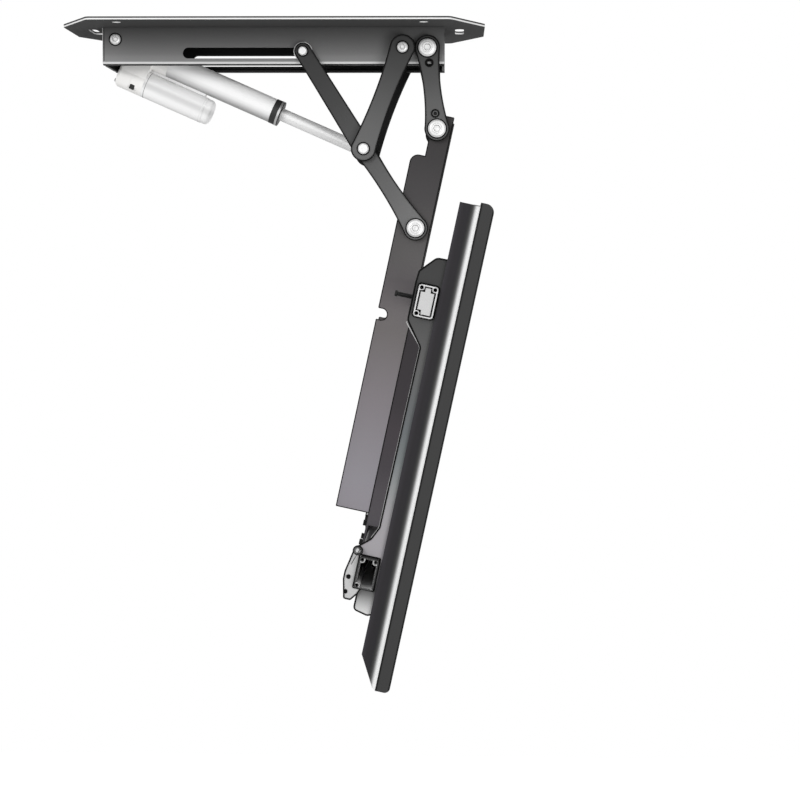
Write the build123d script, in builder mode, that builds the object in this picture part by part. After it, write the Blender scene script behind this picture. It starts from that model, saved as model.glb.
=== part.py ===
from build123d import *
from math import hypot
import os

# Motorized TV ceiling mount, lowered. Millimetres, +Z up, origin at the centre of the ceiling face.
# +X is the side that the screen faces, left is -Y. Side profiles are drawn in the XZ plane.

# Driving dimensions: ceiling plate
plate_length = 420.0
plate_width = 190.0
plate_thickness = 3.0
plate_end_width = 76.0
plate_chamfer_length = 34.0
plate_corner_radius = 6.0
anchor_slot_x = 185.0
anchor_slot_length = 40.0
anchor_slot_width = 9.0
anchor_hole_x = 150.0
anchor_hole_y = 75.0
anchor_hole_radius = 4.25

# Channel rails
rail_back_x = -171.0
rail_front_x = 170.0
channel_half_width = 38.0
channel_height = 37.0
channel_wall = 2.5
channel_bend_radius = 4.0
channel_lip = 8.0
channel_top_flange = 8.0
slot_left_x = -90.8
slot_right_x = 36.0
slot_height = 10.9
end_plate_thickness = 2.5
end_plate_corner = 4.0

# Pivot points (x, z) with the screen lowered
actuator_pivot = (-158.1, -14.9)
link_pivot = (128.6, -23.6)
rear_pivot = (153.2, -23.6)
slider_pivot = (29.5, -27.0)
middle_pivot = (90.0, -123.3)
arm_pivot = (142.0, -201.8)
bracket_pivot = (163.0, -103.2)
slider_drop = 1.28

# Links and arms
link_thickness = 3.0
side_gap = 1.0
link_gap = 0.5
running_gap = 0.3
fit_clearance = 0.05
link_end_radius = 12.0
short_link_waist = 18.0
rear_link_waist = 16.5
arm_slider_radius = 8.0
arm_middle_radius = 9.6
arm_upper_waist = 17.2
arm_waist = 16.0
tie_screw_offset = 15.0
tie_rod_radius = 3.0
tie_screw_head_radius = 3.7
tie_screw_radius = 2.0
tie_screw_length = 14.0
tie_screw_socket_radius = 1.2
tie_screw_socket_depth = 0.6

# Fasteners. Shares are of the head's radius or height.
head_flat_share = 0.55
head_shoulder_share = 0.86
head_shoulder_drop = 0.32
head_rim_drop = 0.75
socket_depth_share = 0.6
small_bolt_radius = 3.0
small_head_radius = 5.3
small_head_height = 3.3
small_socket = 4.0
large_bolt_radius = 5.0
large_head_radius = 8.8
large_head_height = 5.0
large_socket = 6.0
nut_height = 5.0
small_nut_across = 10.0
large_nut_across = 16.0
slider_nut_across = 8.0
slider_nut_height = 4.0
bolt_end_chamfer = 0.6
bolt_nut_projection = 1.0
flange_nut_rim = 2.0
flange_nut_crown_radius = 6.0
washer_thickness = 0.7
rivet_head_radius = 5.4
rivet_head_height = 1.4
rivet_head_chamfer = 0.8
rivet_radius = 4.0
rivet_collar_radius = 5.5
bush_wall = 1.5
slider_shank_radius = 2.5
slider_roller_radius = 3.8
slider_head_radius = 4.4
slider_head_height = 3.0
slider_washer_radius = 9.4
slider_inner_washer_radius = 6.4

# TV bracket, measured from the bracket pivot: t runs down the plate, n towards the screen
bracket_front_n = 14.3
bracket_back_n = -19.4
bracket_thickness = 2.5
bracket_end_t = 391.0
neck_top_t = -14.0
neck_back_n = -5.6
neck_front_n = 3.0
neck_head_radius = 9.0
shoulder_t = 29.0
shoulder_radius = 8.0
notch_top_t = 186.0
notch_width = 12.0
notch_depth = 10.0
spine_depth = 15.7
spine_top_t = 186.0
spine_end_t = 404.0
spine_tongue_top_t = 142.0
spine_tongue_end_t = 437.0
spine_corner = 6.0
spine_bolt_t = (158.8, 176.8, 404.5, 424.5)
spine_bolt_radius = 2.0
spine_bolt_length = 7.5
spine_bolt_head_radius = 3.2
spine_bolt_head_height = 3.6

# Cross tubes
tube_depth = 18.5
tube_height = 30.0
tube_wall = 1.8
tube_corner_radius = 3.0
tube_boss_radius = 3.0
tube_boss_bore_radius = 1.6
tube_overhang = 15.0
upper_tube = (27.5, 166.5)
lower_tube = (27.0, 421.5)
saddle_length = 22.0
saddle_y = 20.0

# TV rails
tv_rail_top_t = 69.0
tv_rail_end_t = 525.0
tv_rail_back_n = 38.5
tv_rail_front_n = 70.6
tv_rail_side_depth = 13.3
tv_rail_half_width = 19.0
tv_rail_web_half_width = 11.0
tv_rail_wall = 2.0
tv_rail_bend_radius = 6.0
tv_rail_cavity_radius = 7.5
tv_rail_web_drop = 3.0
tv_rail_top_radius = 8.0
tv_rail_end_radius = 5.0
tv_rail_foot_depth = 2.6
tv_rail_foot_rise = 29.0
vesa_spacing = 400.0
vesa_hole_radius = 4.5
vesa_middle_t = 297.0
rail_slot_length = 34.0
rail_slot_width = 9.0
rail_slot_pitch = 60.0

# Hook plates, lock screws and latches
hook_thickness = 2.5
hook_hole_gap = 0.5
hook_rivet_radius = 2.4
hook_rivet_flare = 1.6
hook_rivet_head_height = 1.2
hook_rivet_points = ((43.5, 150.0), (43.5, 290.0), (43.5, 400.0))
hook_top_t = 125.5
hook_back_points = (
    (29.0, 126.0),
    (15.8, 140.6),
    (14.9, 150.3),
    (14.9, 186.2),
    (31.4, 208.0),
    (30.0, 378.0),
    (24.5, 390.0),
    (13.0, 400.0),
)
hook_bends = ((29.0, 126.0), (14.9, 186.2), (31.4, 208.0), (30.0, 378.0), (24.5, 390.0))
hook_bend_radius = 6.0
hook_toe_n = 22.4
hook_toe_points = ((22.4, 457.0), (35.5, 460.0))
hook_toe_front_t = 452.0
hook_toe_radius = 4.0
lock_screw_radius = 1.9
lock_screw_t = 165.0
lock_screw_back_n = -1.8
lock_knob_radius = 2.8
lock_knob_length = 2.4
lock_tab_n = 14.9
latch_thickness = 2.0
latch_pivot = (15.0, 402.5)
latch_pin_radius = 1.8
latch_pin_head_radius = 3.2
latch_pin_head_height = 1.4
latch_width = 8.0
latch_end_drop = 27.0
latch_nose_n = 24.5
latch_nose_height = 5.0
latch_nose_slope = 2.0
latch_thumb_rise = 6.0
latch_corner_radius = 1.5
latch_spring_hole_radius = 1.4
latch_spring_hole_drops = (6.5, 20.5)
latch_lobe = 2.0
latch_back_radius = 6.0
latch_eye_radius = 4.2
hook_tab_width = 8.0
hook_tab_thickness = 2.2
hook_tab_height = 16.0

# Actuator, measured along its axis from the rear pivot
gearbox_rear_s = 9.0
gearbox_split_s = 24.5
gearbox_front_s = 38.0
gearbox_neck_end_s = 54.0
gearbox_radius = 12.5
gearbox_wall = 1.6
gearbox_cover_recess = 8.0
gearbox_edge_radius = 4.0
motor_offset = 28.0
motor_radius = 13.2
motor_end_s = 104.0
motor_cap_length = 8.0
motor_cap_inset = 0.4
motor_cap_edge_radius = 4.5
motor_nose_bore_radius = 3.0
outer_tube_radius = 12.5
outer_tube_bore = 10.8
bearing_radius = 10.5
collar_radius = 12.8
collar_start_s = 168.0
collar_length = 9.0
rod_radius = 6.5
rod_bore_radius = 4.8
rod_inner_s = 155.0
rod_bore_length = 95.0
rod_nut_length = 10.0
rod_end_radius = 8.0
rod_end_half_width = 7.0
rod_end_shank = 6.0
rod_pin_radius = 5.0
eye_half_width = 8.0
screw_radius = 4.0
screw_end_s = 165.0
bearing_s = 42.0
bearing_length = 8.0
gear_module = 1.0
gear_teeth = 20
small_gear_teeth = 12
gear_start_s = 27.0
gear_width = 7.0
gear_root_share = 1.2
gear_tooth_sink = 0.2
gear_tooth_width = 1.9
gear_flank_angle = 72
idler_pin_radius = 1.5
gland_size = 5.0
gland_corner_radius = 0.8
gland_length = 2.0
gland_s = 28.0
gland_v = -36.0
gland_seat_y = 9.2

# Control box inside the channel
box_back_x = 48.0
box_front_x = 108.0
box_half_width = 27.0
box_height = 26.0
box_wall = 1.6
box_corner_radius = 3.0
box_post_radius = 3.9
box_post_inset = 5.0
box_screw_radius = 1.5
box_thread_depth = 10.0
board_thickness = 1.6
board_standoff = 6.0
board_standoff_radius = 2.0
board_length = 39.6
board_width = 48.0
board_standoff_pitch = (30.0, 38.0)
relay_size = (9.0, 12.0, 7.0)
relay_points = ((-6.0, 8.0), (8.0, 8.0))
capacitor_radius = 4.0
capacitor_height = 10.0
capacitor_points = ((-6.0, -9.0), (6.0, -9.0))
jack_radius = 5.5
jack_flange_radius = 7.0
jack_flange_thickness = 2.0
jack_bore_radius = 2.9
jack_pin_radius = 1.05
jack_depth = 8.0
jack_back_thickness = 1.5

cut_margin = 1.0

# Worked-out values
tv_rail_y = vesa_spacing / 2
tube_half_length = tv_rail_y + tube_overhang
wall_outer = channel_half_width
wall_inner = channel_half_width - channel_wall
arm_inner = wall_outer + side_gap
arm_outer = arm_inner + link_thickness
link_inner = arm_outer + link_gap
link_outer = link_inner + link_thickness
bracket_inner = wall_outer - bracket_thickness
channel_bottom_z = -plate_thickness - channel_height
slot_z = slider_pivot[1] - slider_drop
small_bush_radius = small_bolt_radius + fit_clearance + bush_wall
large_bush_radius = large_bolt_radius + fit_clearance + bush_wall
rod_length = hypot(middle_pivot[0] - actuator_pivot[0], middle_pivot[1] - actuator_pivot[1])


def direction(start, end):
    """Unit vector in the side view from one (x, z) point to another."""
    length = hypot(end[0] - start[0], end[1] - start[1])
    return ((end[0] - start[0]) / length, (end[1] - start[1]) / length)


def distance(start, end):
    """Distance between two (x, z) points."""
    return hypot(end[0] - start[0], end[1] - start[1])


def side_plane(origin, along, y):
    """Side-view plane at y, with local x along the given direction and its normal towards -Y."""
    return Plane(origin=(origin[0], y, origin[1]), x_dir=(along[0], 0, along[1]), z_dir=(0, -1, 0))


def turned(x, z, profile):
    """A turned piece about the Y axis line through (x, z). The profile is (radius, y) points."""
    with BuildPart() as piece:
        with BuildSketch(Plane(origin=(x, 0, z), x_dir=(1, 0, 0), z_dir=(0, 0, 1))):
            with BuildLine():
                Polyline(*profile, close=True)
            make_face()
        revolve(axis=Axis((x, 0, z), (0, 1, 0)))
    return piece.part


def ring(x, z, outer, inner, y_near, y_far):
    """A washer, sleeve or bush about the Y axis line through (x, z)."""
    return turned(x, z, ((inner, y_near), (outer, y_near), (outer, y_far), (inner, y_far)))


def button_bolt(pivot, head_radius, head_height, shank_radius, socket, y_head, y_end):
    """Left-hand button-head bolt: its head stands out from y_head towards -Y."""
    x, z = pivot
    crown = y_head - head_height
    profile = (
        (0, y_end),
        (0, crown),
        (head_radius * head_flat_share, crown),
        (head_radius * head_shoulder_share, crown + head_height * head_shoulder_drop),
        (head_radius, crown + head_height * head_rim_drop),
        (head_radius, y_head),
        (shank_radius, y_head),
        (shank_radius, y_end - bolt_end_chamfer),
        (shank_radius - bolt_end_chamfer, y_end),
    )
    with BuildPart() as bolt:
        add(turned(x, z, profile))
        with BuildSketch(side_plane(pivot, (1, 0), crown)):
            RegularPolygon(radius=socket / 2, side_count=6, major_radius=False)
        extrude(amount=-head_height * socket_depth_share, mode=Mode.SUBTRACT)
    return bolt.part


def hex_nut(pivot, across, bore, y_near, y_far):
    """Hexagonal nut about the Y axis line through the pivot."""
    with BuildPart() as nut:
        with BuildSketch(side_plane(pivot, (1, 0), y_far)):
            RegularPolygon(radius=across / 2, side_count=6, major_radius=False)
            Circle(bore, mode=Mode.SUBTRACT)
        extrude(amount=y_far - y_near)
    return nut.part


def waisted_link(length, start_radius, end_radius, waist):
    """Flat link outline with round ends and sides that draw in to the waist."""
    with BuildSketch() as outline:
        with BuildLine():
            upper = ThreePointArc((0, start_radius), (length / 2, waist / 2), (length, end_radius))
            lower = ThreePointArc((0, -start_radius), (length / 2, -waist / 2), (length, -end_radius))
            Line(upper @ 0, lower @ 0)
            Line(upper @ 1, lower @ 1)
        make_face()
        Circle(start_radius)
        with Locations((length, 0)):
            Circle(end_radius)
    return outline.sketch


# Ceiling plate: flat, corners cut back to narrow ends, anchor slots and holes
half_length = plate_length / 2
straight_x = half_length - plate_chamfer_length
with BuildPart() as ceiling_plate:
    with BuildSketch(Plane.XY.offset(-plate_thickness)):
        with BuildLine():
            Polyline(
                (-half_length, -plate_end_width / 2),
                (-straight_x, -plate_width / 2),
                (straight_x, -plate_width / 2),
                (half_length, -plate_end_width / 2),
                (half_length, plate_end_width / 2),
                (straight_x, plate_width / 2),
                (-straight_x, plate_width / 2),
                (-half_length, plate_end_width / 2),
                close=True,
            )
        plate_face = make_face()
        fillet(plate_face.vertices(), plate_corner_radius)
        with Locations((-anchor_slot_x, 0), (anchor_slot_x, 0)):
            SlotOverall(anchor_slot_length, anchor_slot_width, rotation=90, mode=Mode.SUBTRACT)
        with GridLocations(2 * anchor_hole_x, 2 * anchor_hole_y, 2, 2):
            Circle(anchor_hole_radius, mode=Mode.SUBTRACT)
    extrude(amount=plate_thickness)

# Channel rails: bent J sections with the pin slot and the pivot holes
with BuildPart() as left_rail:
    with BuildSketch(Plane.YZ.offset(rail_back_x)) as rail_section:
        with BuildLine():
            Polyline(
                (-wall_inner + channel_top_flange - channel_wall, -plate_thickness),
                (-wall_outer, -plate_thickness),
                (-wall_outer, channel_bottom_z),
                (-wall_inner + channel_lip - channel_wall, channel_bottom_z),
                (-wall_inner + channel_lip - channel_wall, channel_bottom_z + channel_wall),
                (-wall_inner, channel_bottom_z + channel_wall),
                (-wall_inner, -plate_thickness - channel_wall),
                (-wall_inner + channel_top_flange - channel_wall, -plate_thickness - channel_wall),
                close=True,
            )
        make_face()
        outer_bend = rail_section.vertices().sort_by_distance((-wall_outer, channel_bottom_z))[0]
        fillet(outer_bend, channel_bend_radius)
        inner_corner = (-wall_inner, channel_bottom_z + channel_wall)
        inner_bend = rail_section.vertices().sort_by_distance(inner_corner)[0]
        fillet(inner_bend, channel_bend_radius - channel_wall)
    extrude(amount=rail_front_x - rail_back_x)
    slot_middle_x = (slot_left_x + slot_right_x) / 2
    with BuildSketch(side_plane((slot_middle_x, slot_z), (1, 0), -wall_inner + cut_margin)):
        SlotOverall(slot_right_x - slot_left_x, slot_height)
    extrude(amount=channel_wall + 2 * cut_margin, mode=Mode.SUBTRACT)
    pivot_bores = (
        (actuator_pivot, small_bolt_radius),
        (link_pivot, small_bolt_radius),
        (rear_pivot, large_bolt_radius),
    )
    for pivot, radius in pivot_bores:
        with BuildSketch(side_plane(pivot, (1, 0), -wall_inner + cut_margin)):
            Circle(radius)
        extrude(amount=channel_wall + 2 * cut_margin, mode=Mode.SUBTRACT)

with BuildPart() as right_rail:
    mirror(left_rail.part, about=Plane.XZ)

# End plates close the channel between the rails
with BuildPart() as end_plates:
    for x in (rail_back_x, rail_front_x - end_plate_thickness):
        with BuildSketch(Plane.YZ.offset(x)):
            with BuildLine():
                flange_z = -plate_thickness - channel_wall
                lip_z = channel_bottom_z + channel_wall
                bend = channel_bend_radius - channel_wall
                Polyline(
                    (-wall_inner, flange_z),
                    (-wall_inner, lip_z + bend),
                    (-wall_inner + bend, lip_z),
                    (-wall_inner + channel_lip, lip_z),
                    (-wall_inner + channel_lip + end_plate_corner, channel_bottom_z),
                    (wall_inner - channel_lip - end_plate_corner, channel_bottom_z),
                    (wall_inner - channel_lip, lip_z),
                    (wall_inner - bend, lip_z),
                    (wall_inner, lip_z + bend),
                    (wall_inner, flange_z),
                    close=True,
                )
            make_face()
        extrude(amount=end_plate_thickness)

# Actuator rear pivot: one through bolt from left to right
nut_outer_y = wall_outer + nut_height
with BuildPart() as actuator_pivot_bolt:
    add(
        button_bolt(
            actuator_pivot, small_head_radius, small_head_height, small_bolt_radius, small_socket,
            -wall_outer, nut_outer_y + bolt_nut_projection,
        )
    )

# Front pivots of the links on the channel: bolts, spacers and nuts
with BuildPart() as channel_pivot_bolts:
    add(
        button_bolt(
            link_pivot, small_head_radius, small_head_height, small_bolt_radius, small_socket,
            -link_outer - running_gap, -wall_inner + nut_height + bolt_nut_projection,
        )
    )
    add(
        button_bolt(
            rear_pivot, large_head_radius, large_head_height, large_bolt_radius, large_socket,
            -arm_outer - running_gap, -wall_inner + nut_height + bolt_nut_projection,
        )
    )
    mirror(about=Plane.XZ)

with BuildPart() as pivot_spacers:
    add(
        ring(
            *actuator_pivot, small_head_radius, small_bolt_radius,
            -wall_inner, -eye_half_width - running_gap,
        )
    )
    add(ring(*link_pivot, small_head_radius, small_bolt_radius, -link_inner + running_gap, -wall_outer))
    add(ring(*rear_pivot, large_head_radius, large_bolt_radius, -wall_outer - washer_thickness, -wall_outer))
    mirror(about=Plane.XZ)

with BuildPart() as channel_nuts:
    add(hex_nut(link_pivot, small_nut_across, small_bolt_radius, -wall_inner, -wall_inner + nut_height))
    add(hex_nut(rear_pivot, large_nut_across, large_bolt_radius, -wall_inner, -wall_inner + nut_height))
    mirror(about=Plane.XZ)
    add(hex_nut(actuator_pivot, small_nut_across, small_bolt_radius, wall_outer, nut_outer_y))

# Control box: tray under the ceiling plate, screwed cover, board and power inlet
box_middle_x = (box_back_x + box_front_x) / 2
box_length = box_front_x - box_back_x
box_bottom_z = -plate_thickness - box_height
box_post_pitch_x = box_length - 2 * box_post_inset
box_post_pitch_y = 2 * (box_half_width - box_post_inset)
box_bottom_plane = Plane.XY.offset(box_bottom_z)
jack_z = -plate_thickness - box_height / 2
with BuildPart() as control_box:
    with BuildSketch(Plane.XY.offset(-plate_thickness)):
        with Locations((box_middle_x, 0)):
            RectangleRounded(box_length, 2 * box_half_width, box_corner_radius)
    extrude(amount=-box_height)
    with BuildSketch(box_bottom_plane):
        with Locations((box_middle_x, 0)):
            RectangleRounded(
                box_length - 2 * box_wall, 2 * (box_half_width - box_wall), box_corner_radius - box_wall
            )
    extrude(amount=box_height - box_wall, mode=Mode.SUBTRACT)
    with BuildSketch(box_bottom_plane):
        with Locations((box_middle_x, 0)):
            with GridLocations(box_post_pitch_x, box_post_pitch_y, 2, 2):
                Circle(box_post_radius)
    extrude(amount=box_height - box_wall)
    with BuildSketch(Plane.YZ.offset(box_back_x)):
        with Locations((0, jack_z)):
            Circle(jack_radius)
    extrude(amount=box_wall, mode=Mode.SUBTRACT)
    with BuildSketch(box_bottom_plane):
        with Locations((box_middle_x, 0)):
            with GridLocations(box_post_pitch_x, box_post_pitch_y, 2, 2):
                Circle(box_screw_radius)
    extrude(amount=box_thread_depth, mode=Mode.SUBTRACT)

with BuildPart() as control_box_cover:
    with BuildSketch(box_bottom_plane):
        with Locations((box_middle_x, 0)):
            RectangleRounded(box_length, 2 * box_half_width, box_corner_radius)
            with GridLocations(box_post_pitch_x, box_post_pitch_y, 2, 2):
                Circle(box_screw_radius, mode=Mode.SUBTRACT)
    extrude(amount=-box_wall)

board_top_z = -plate_thickness - box_wall - board_standoff
board_bottom_plane = Plane.XY.offset(board_top_z - board_thickness)
with BuildPart() as control_board:
    with BuildSketch(Plane.XY.offset(board_top_z)):
        with Locations((box_middle_x, 0)):
            Rectangle(board_length, board_width)
    extrude(amount=-board_thickness)
    with BuildSketch(board_bottom_plane):
        with Locations(*[(box_middle_x + x, y) for x, y in relay_points]):
            Rectangle(relay_size[0], relay_size[1])
    extrude(amount=-relay_size[2])
    with BuildSketch(board_bottom_plane):
        with Locations(*[(box_middle_x + x, y) for x, y in capacitor_points]):
            Circle(capacitor_radius)
    extrude(amount=-capacitor_height)
    with BuildSketch(Plane.XY.offset(board_top_z)):
        with Locations((box_middle_x, 0)):
            with GridLocations(*board_standoff_pitch, 2, 2):
                Circle(board_standoff_radius)
    extrude(amount=board_standoff)

flange_start_x = box_back_x - jack_flange_thickness
with BuildPart() as power_inlet:
    with BuildSketch(Plane.YZ.offset(flange_start_x)):
        with Locations((0, jack_z)):
            Circle(jack_flange_radius)
    extrude(amount=jack_flange_thickness)
    with BuildSketch(Plane.YZ.offset(box_back_x)):
        with Locations((0, jack_z)):
            Circle(jack_radius)
    extrude(amount=jack_depth + jack_back_thickness)
    with BuildSketch(Plane.YZ.offset(flange_start_x)):
        with Locations((0, jack_z)):
            Circle(jack_bore_radius)
            Circle(jack_pin_radius, mode=Mode.SUBTRACT)
    extrude(amount=jack_flange_thickness + jack_depth, mode=Mode.SUBTRACT)

# Short links with bushes, and the rivets of the middle pivot
with BuildPart() as left_short_link:
    short_plane = side_plane(link_pivot, direction(link_pivot, middle_pivot), -link_inner)
    short_length = distance(link_pivot, middle_pivot)
    with BuildSketch(short_plane):
        add(waisted_link(short_length, link_end_radius, link_end_radius, short_link_waist))
        Circle(small_bush_radius, mode=Mode.SUBTRACT)
        with Locations((short_length, 0)):
            Circle(rivet_radius, mode=Mode.SUBTRACT)
    extrude(amount=link_thickness)

with BuildPart() as right_short_link:
    mirror(left_short_link.part, about=Plane.XZ)

with BuildPart() as short_link_bushes:
    add(ring(*link_pivot, small_bush_radius, small_bolt_radius + fit_clearance, -link_outer, -link_inner))
    mirror(about=Plane.XZ)

with BuildPart() as middle_rivets:
    add(
        turned(
            *middle_pivot,
            (
                (0, -bracket_inner - running_gap / 2),
                (rivet_collar_radius, -bracket_inner - running_gap / 2),
                (rivet_collar_radius, -arm_inner + running_gap),
                (rivet_radius, -arm_inner + running_gap),
                (rivet_radius, -link_outer),
                (rivet_head_radius, -link_outer),
                (rivet_head_radius, -link_outer - rivet_head_height + rivet_head_chamfer),
                (rivet_head_radius - rivet_head_chamfer, -link_outer - rivet_head_height),
                (0, -link_outer - rivet_head_height),
            ),
        )
    )
    mirror(about=Plane.XZ)

# Long arms from the slot to the bracket, with bushes, slot pins, rollers and washers
with BuildPart() as left_long_arm:
    upper_length = distance(slider_pivot, middle_pivot)
    lower_length = distance(middle_pivot, arm_pivot)
    with BuildSketch(side_plane(slider_pivot, direction(slider_pivot, middle_pivot), -arm_inner)):
        add(waisted_link(upper_length, arm_slider_radius, arm_middle_radius, arm_upper_waist))
        Circle(slider_shank_radius, mode=Mode.SUBTRACT)
    extrude(amount=link_thickness)
    with BuildSketch(side_plane(middle_pivot, direction(middle_pivot, arm_pivot), -arm_inner)):
        add(waisted_link(lower_length, arm_middle_radius, link_end_radius, arm_waist))
    extrude(amount=link_thickness)
    for pivot, radius in ((middle_pivot, rivet_radius + fit_clearance), (arm_pivot, large_bush_radius)):
        with BuildSketch(side_plane(pivot, (1, 0), -arm_inner + cut_margin)):
            Circle(radius)
        extrude(amount=link_thickness + 2 * cut_margin, mode=Mode.SUBTRACT)

with BuildPart() as right_long_arm:
    mirror(left_long_arm.part, about=Plane.XZ)

with BuildPart() as long_arm_bushes:
    add(ring(*arm_pivot, large_bush_radius, large_bolt_radius + fit_clearance, -arm_outer, -arm_inner))
    mirror(about=Plane.XZ)

roller_inner_y = -wall_inner + running_gap
with BuildPart() as slot_pins:
    add(
        turned(
            *slider_pivot,
            (
                (0, -arm_outer - slider_head_height),
                (slider_head_radius - bolt_end_chamfer, -arm_outer - slider_head_height),
                (slider_head_radius, -arm_outer - slider_head_height + bolt_end_chamfer),
                (slider_head_radius, -arm_outer),
                (slider_shank_radius, -arm_outer),
                (slider_shank_radius, roller_inner_y + washer_thickness + nut_height),
                (0, roller_inner_y + washer_thickness + nut_height),
            ),
        )
    )
    add(
        hex_nut(
            slider_pivot, slider_nut_across, slider_shank_radius,
            roller_inner_y + washer_thickness, roller_inner_y + washer_thickness + slider_nut_height,
        )
    )
    mirror(about=Plane.XZ)

with BuildPart() as slot_rollers:
    add(
        ring(
            *slider_pivot, slider_roller_radius, slider_shank_radius,
            -wall_outer - running_gap, roller_inner_y,
        )
    )
    add(ring(*slider_pivot, slider_washer_radius, slider_shank_radius, -arm_inner, -wall_outer - running_gap))
    add(
        ring(
            *slider_pivot, slider_inner_washer_radius, slider_shank_radius,
            roller_inner_y, roller_inner_y + washer_thickness,
        )
    )
    mirror(about=Plane.XZ)

# Rear links with their tie rod, screws, bushes and foot bolts
rear_direction = direction(rear_pivot, bracket_pivot)
rear_length = distance(rear_pivot, bracket_pivot)
rear_plane = side_plane(rear_pivot, rear_direction, -arm_inner)
tie_points = (tie_screw_offset, rear_length - tie_screw_offset)
with BuildPart() as left_rear_link:
    with BuildSketch(rear_plane):
        add(waisted_link(rear_length, link_end_radius, link_end_radius, rear_link_waist))
        Circle(large_bush_radius, mode=Mode.SUBTRACT)
        with Locations((rear_length, 0)):
            Circle(large_bolt_radius, mode=Mode.SUBTRACT)
    extrude(amount=link_thickness)
    with Locations(rear_plane.offset(link_thickness)):
        with Locations(*[(s, 0, 0) for s in tie_points]):
            CounterSinkHole(tie_screw_radius, tie_screw_head_radius, depth=link_thickness)

with BuildPart() as right_rear_link:
    mirror(left_rear_link.part, about=Plane.XZ)

with BuildPart() as rear_link_bushes:
    add(ring(*rear_pivot, large_bush_radius, large_bolt_radius + fit_clearance, -arm_outer, -arm_inner))
    mirror(about=Plane.XZ)

tie_x = rear_pivot[0] + tie_points[1] * rear_direction[0]
tie_z = rear_pivot[1] + tie_points[1] * rear_direction[1]
head_depth = tie_screw_head_radius - tie_screw_radius
with BuildPart() as rear_tie_rod:
    with BuildSketch(side_plane((tie_x, tie_z), rear_direction, arm_inner)):
        Circle(tie_rod_radius)
        Circle(tie_screw_radius, mode=Mode.SUBTRACT)
    extrude(amount=2 * arm_inner)

with BuildPart() as tie_screws:
    add(
        turned(
            tie_x, tie_z,
            (
                (0, -arm_outer + tie_screw_socket_depth),
                (tie_screw_socket_radius, -arm_outer + fit_clearance),
                (tie_screw_head_radius - fit_clearance, -arm_outer + fit_clearance),
                (tie_screw_radius, -arm_outer + head_depth),
                (tie_screw_radius, -arm_outer + tie_screw_length),
                (0, -arm_outer + tie_screw_length),
            ),
        )
    )
    mirror(about=Plane.XZ)

with BuildPart() as bracket_pivot_bolts:
    add(
        button_bolt(
            bracket_pivot, large_head_radius, large_head_height, large_bolt_radius, large_socket,
            -arm_outer, -wall_outer - running_gap,
        )
    )
    mirror(about=Plane.XZ)

# TV bracket: local x is n (towards the screen), local y is -t
down = direction(bracket_pivot, arm_pivot)
towards_screen = (-down[1], down[0])


def bracket_plane(y):
    """Side-view plane of the bracket, with its origin at the bracket pivot."""
    return side_plane(bracket_pivot, towards_screen, y)


def bracket_point(n, t):
    """World (x, z) of a bracket point."""
    x = bracket_pivot[0] + n * towards_screen[0] + t * down[0]
    z = bracket_pivot[1] + n * towards_screen[1] + t * down[1]
    return (x, z)


arm_t = distance(bracket_pivot, arm_pivot)
with BuildPart() as left_side_plate:
    with BuildSketch(bracket_plane(-bracket_inner)):
        with BuildLine():
            Polyline(
                (neck_front_n, -neck_top_t),
                (bracket_front_n, -neck_top_t),
                (bracket_front_n, -bracket_end_t),
                (bracket_back_n, -bracket_end_t),
                (bracket_back_n, -shoulder_t),
                (neck_back_n, -shoulder_t),
                (neck_back_n, 0),
                close=True,
            )
        side_face = make_face()
        outer_shoulder = side_face.vertices().sort_by_distance((bracket_back_n, -shoulder_t))[0]
        fillet(outer_shoulder, shoulder_radius)
        Circle(neck_head_radius)
        with Locations((bracket_back_n, -notch_top_t - notch_width / 2)):
            SlotCenterToCenter(2 * (notch_depth - notch_width / 2), notch_width, mode=Mode.SUBTRACT)
        Circle(large_bolt_radius, mode=Mode.SUBTRACT)
        with Locations((0, -arm_t)):
            Circle(large_bolt_radius, mode=Mode.SUBTRACT)
    extrude(amount=bracket_thickness)

with BuildPart() as right_side_plate:
    mirror(left_side_plate.part, about=Plane.XZ)

with BuildPart() as arm_pivot_bolts:
    add(
        button_bolt(
            arm_pivot, large_head_radius, large_head_height, large_bolt_radius, large_socket,
            -arm_outer - running_gap, -bracket_inner + nut_height + bolt_nut_projection,
        )
    )
    mirror(about=Plane.XZ)

with BuildPart() as bracket_nuts:
    add(ring(*arm_pivot, large_head_radius, large_bolt_radius, -wall_outer - washer_thickness, -wall_outer))
    add(hex_nut(arm_pivot, large_nut_across, large_bolt_radius, -bracket_inner, -bracket_inner + nut_height))
    add(
        turned(
            *bracket_pivot,
            (
                (0, -wall_outer),
                (large_bolt_radius, -wall_outer),
                (large_bolt_radius, -bracket_inner),
                (large_head_radius, -bracket_inner),
                (large_head_radius, -bracket_inner + flange_nut_rim),
                (flange_nut_crown_radius, -bracket_inner + nut_height),
                (0, -bracket_inner + nut_height),
            ),
        )
    )
    mirror(about=Plane.XZ)


def screen_plane(n, t, y):
    """Plane at a bracket point with its normal towards the screen and local x along Y."""
    x, z = bracket_point(n, t)
    return Plane(origin=(x, y, z), x_dir=(0, 1, 0), z_dir=(towards_screen[0], 0, towards_screen[1]))


def spine_bolt_shanks():
    """Shanks of the bolts that join the spine web, the saddles and the cross tubes."""
    with BuildPart() as shanks:
        for t in spine_bolt_t:
            for y in (-saddle_y, saddle_y):
                with BuildSketch(screen_plane(bracket_front_n, t, y)):
                    Circle(spine_bolt_radius)
        extrude(amount=spine_bolt_length)
    return shanks.part


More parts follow.
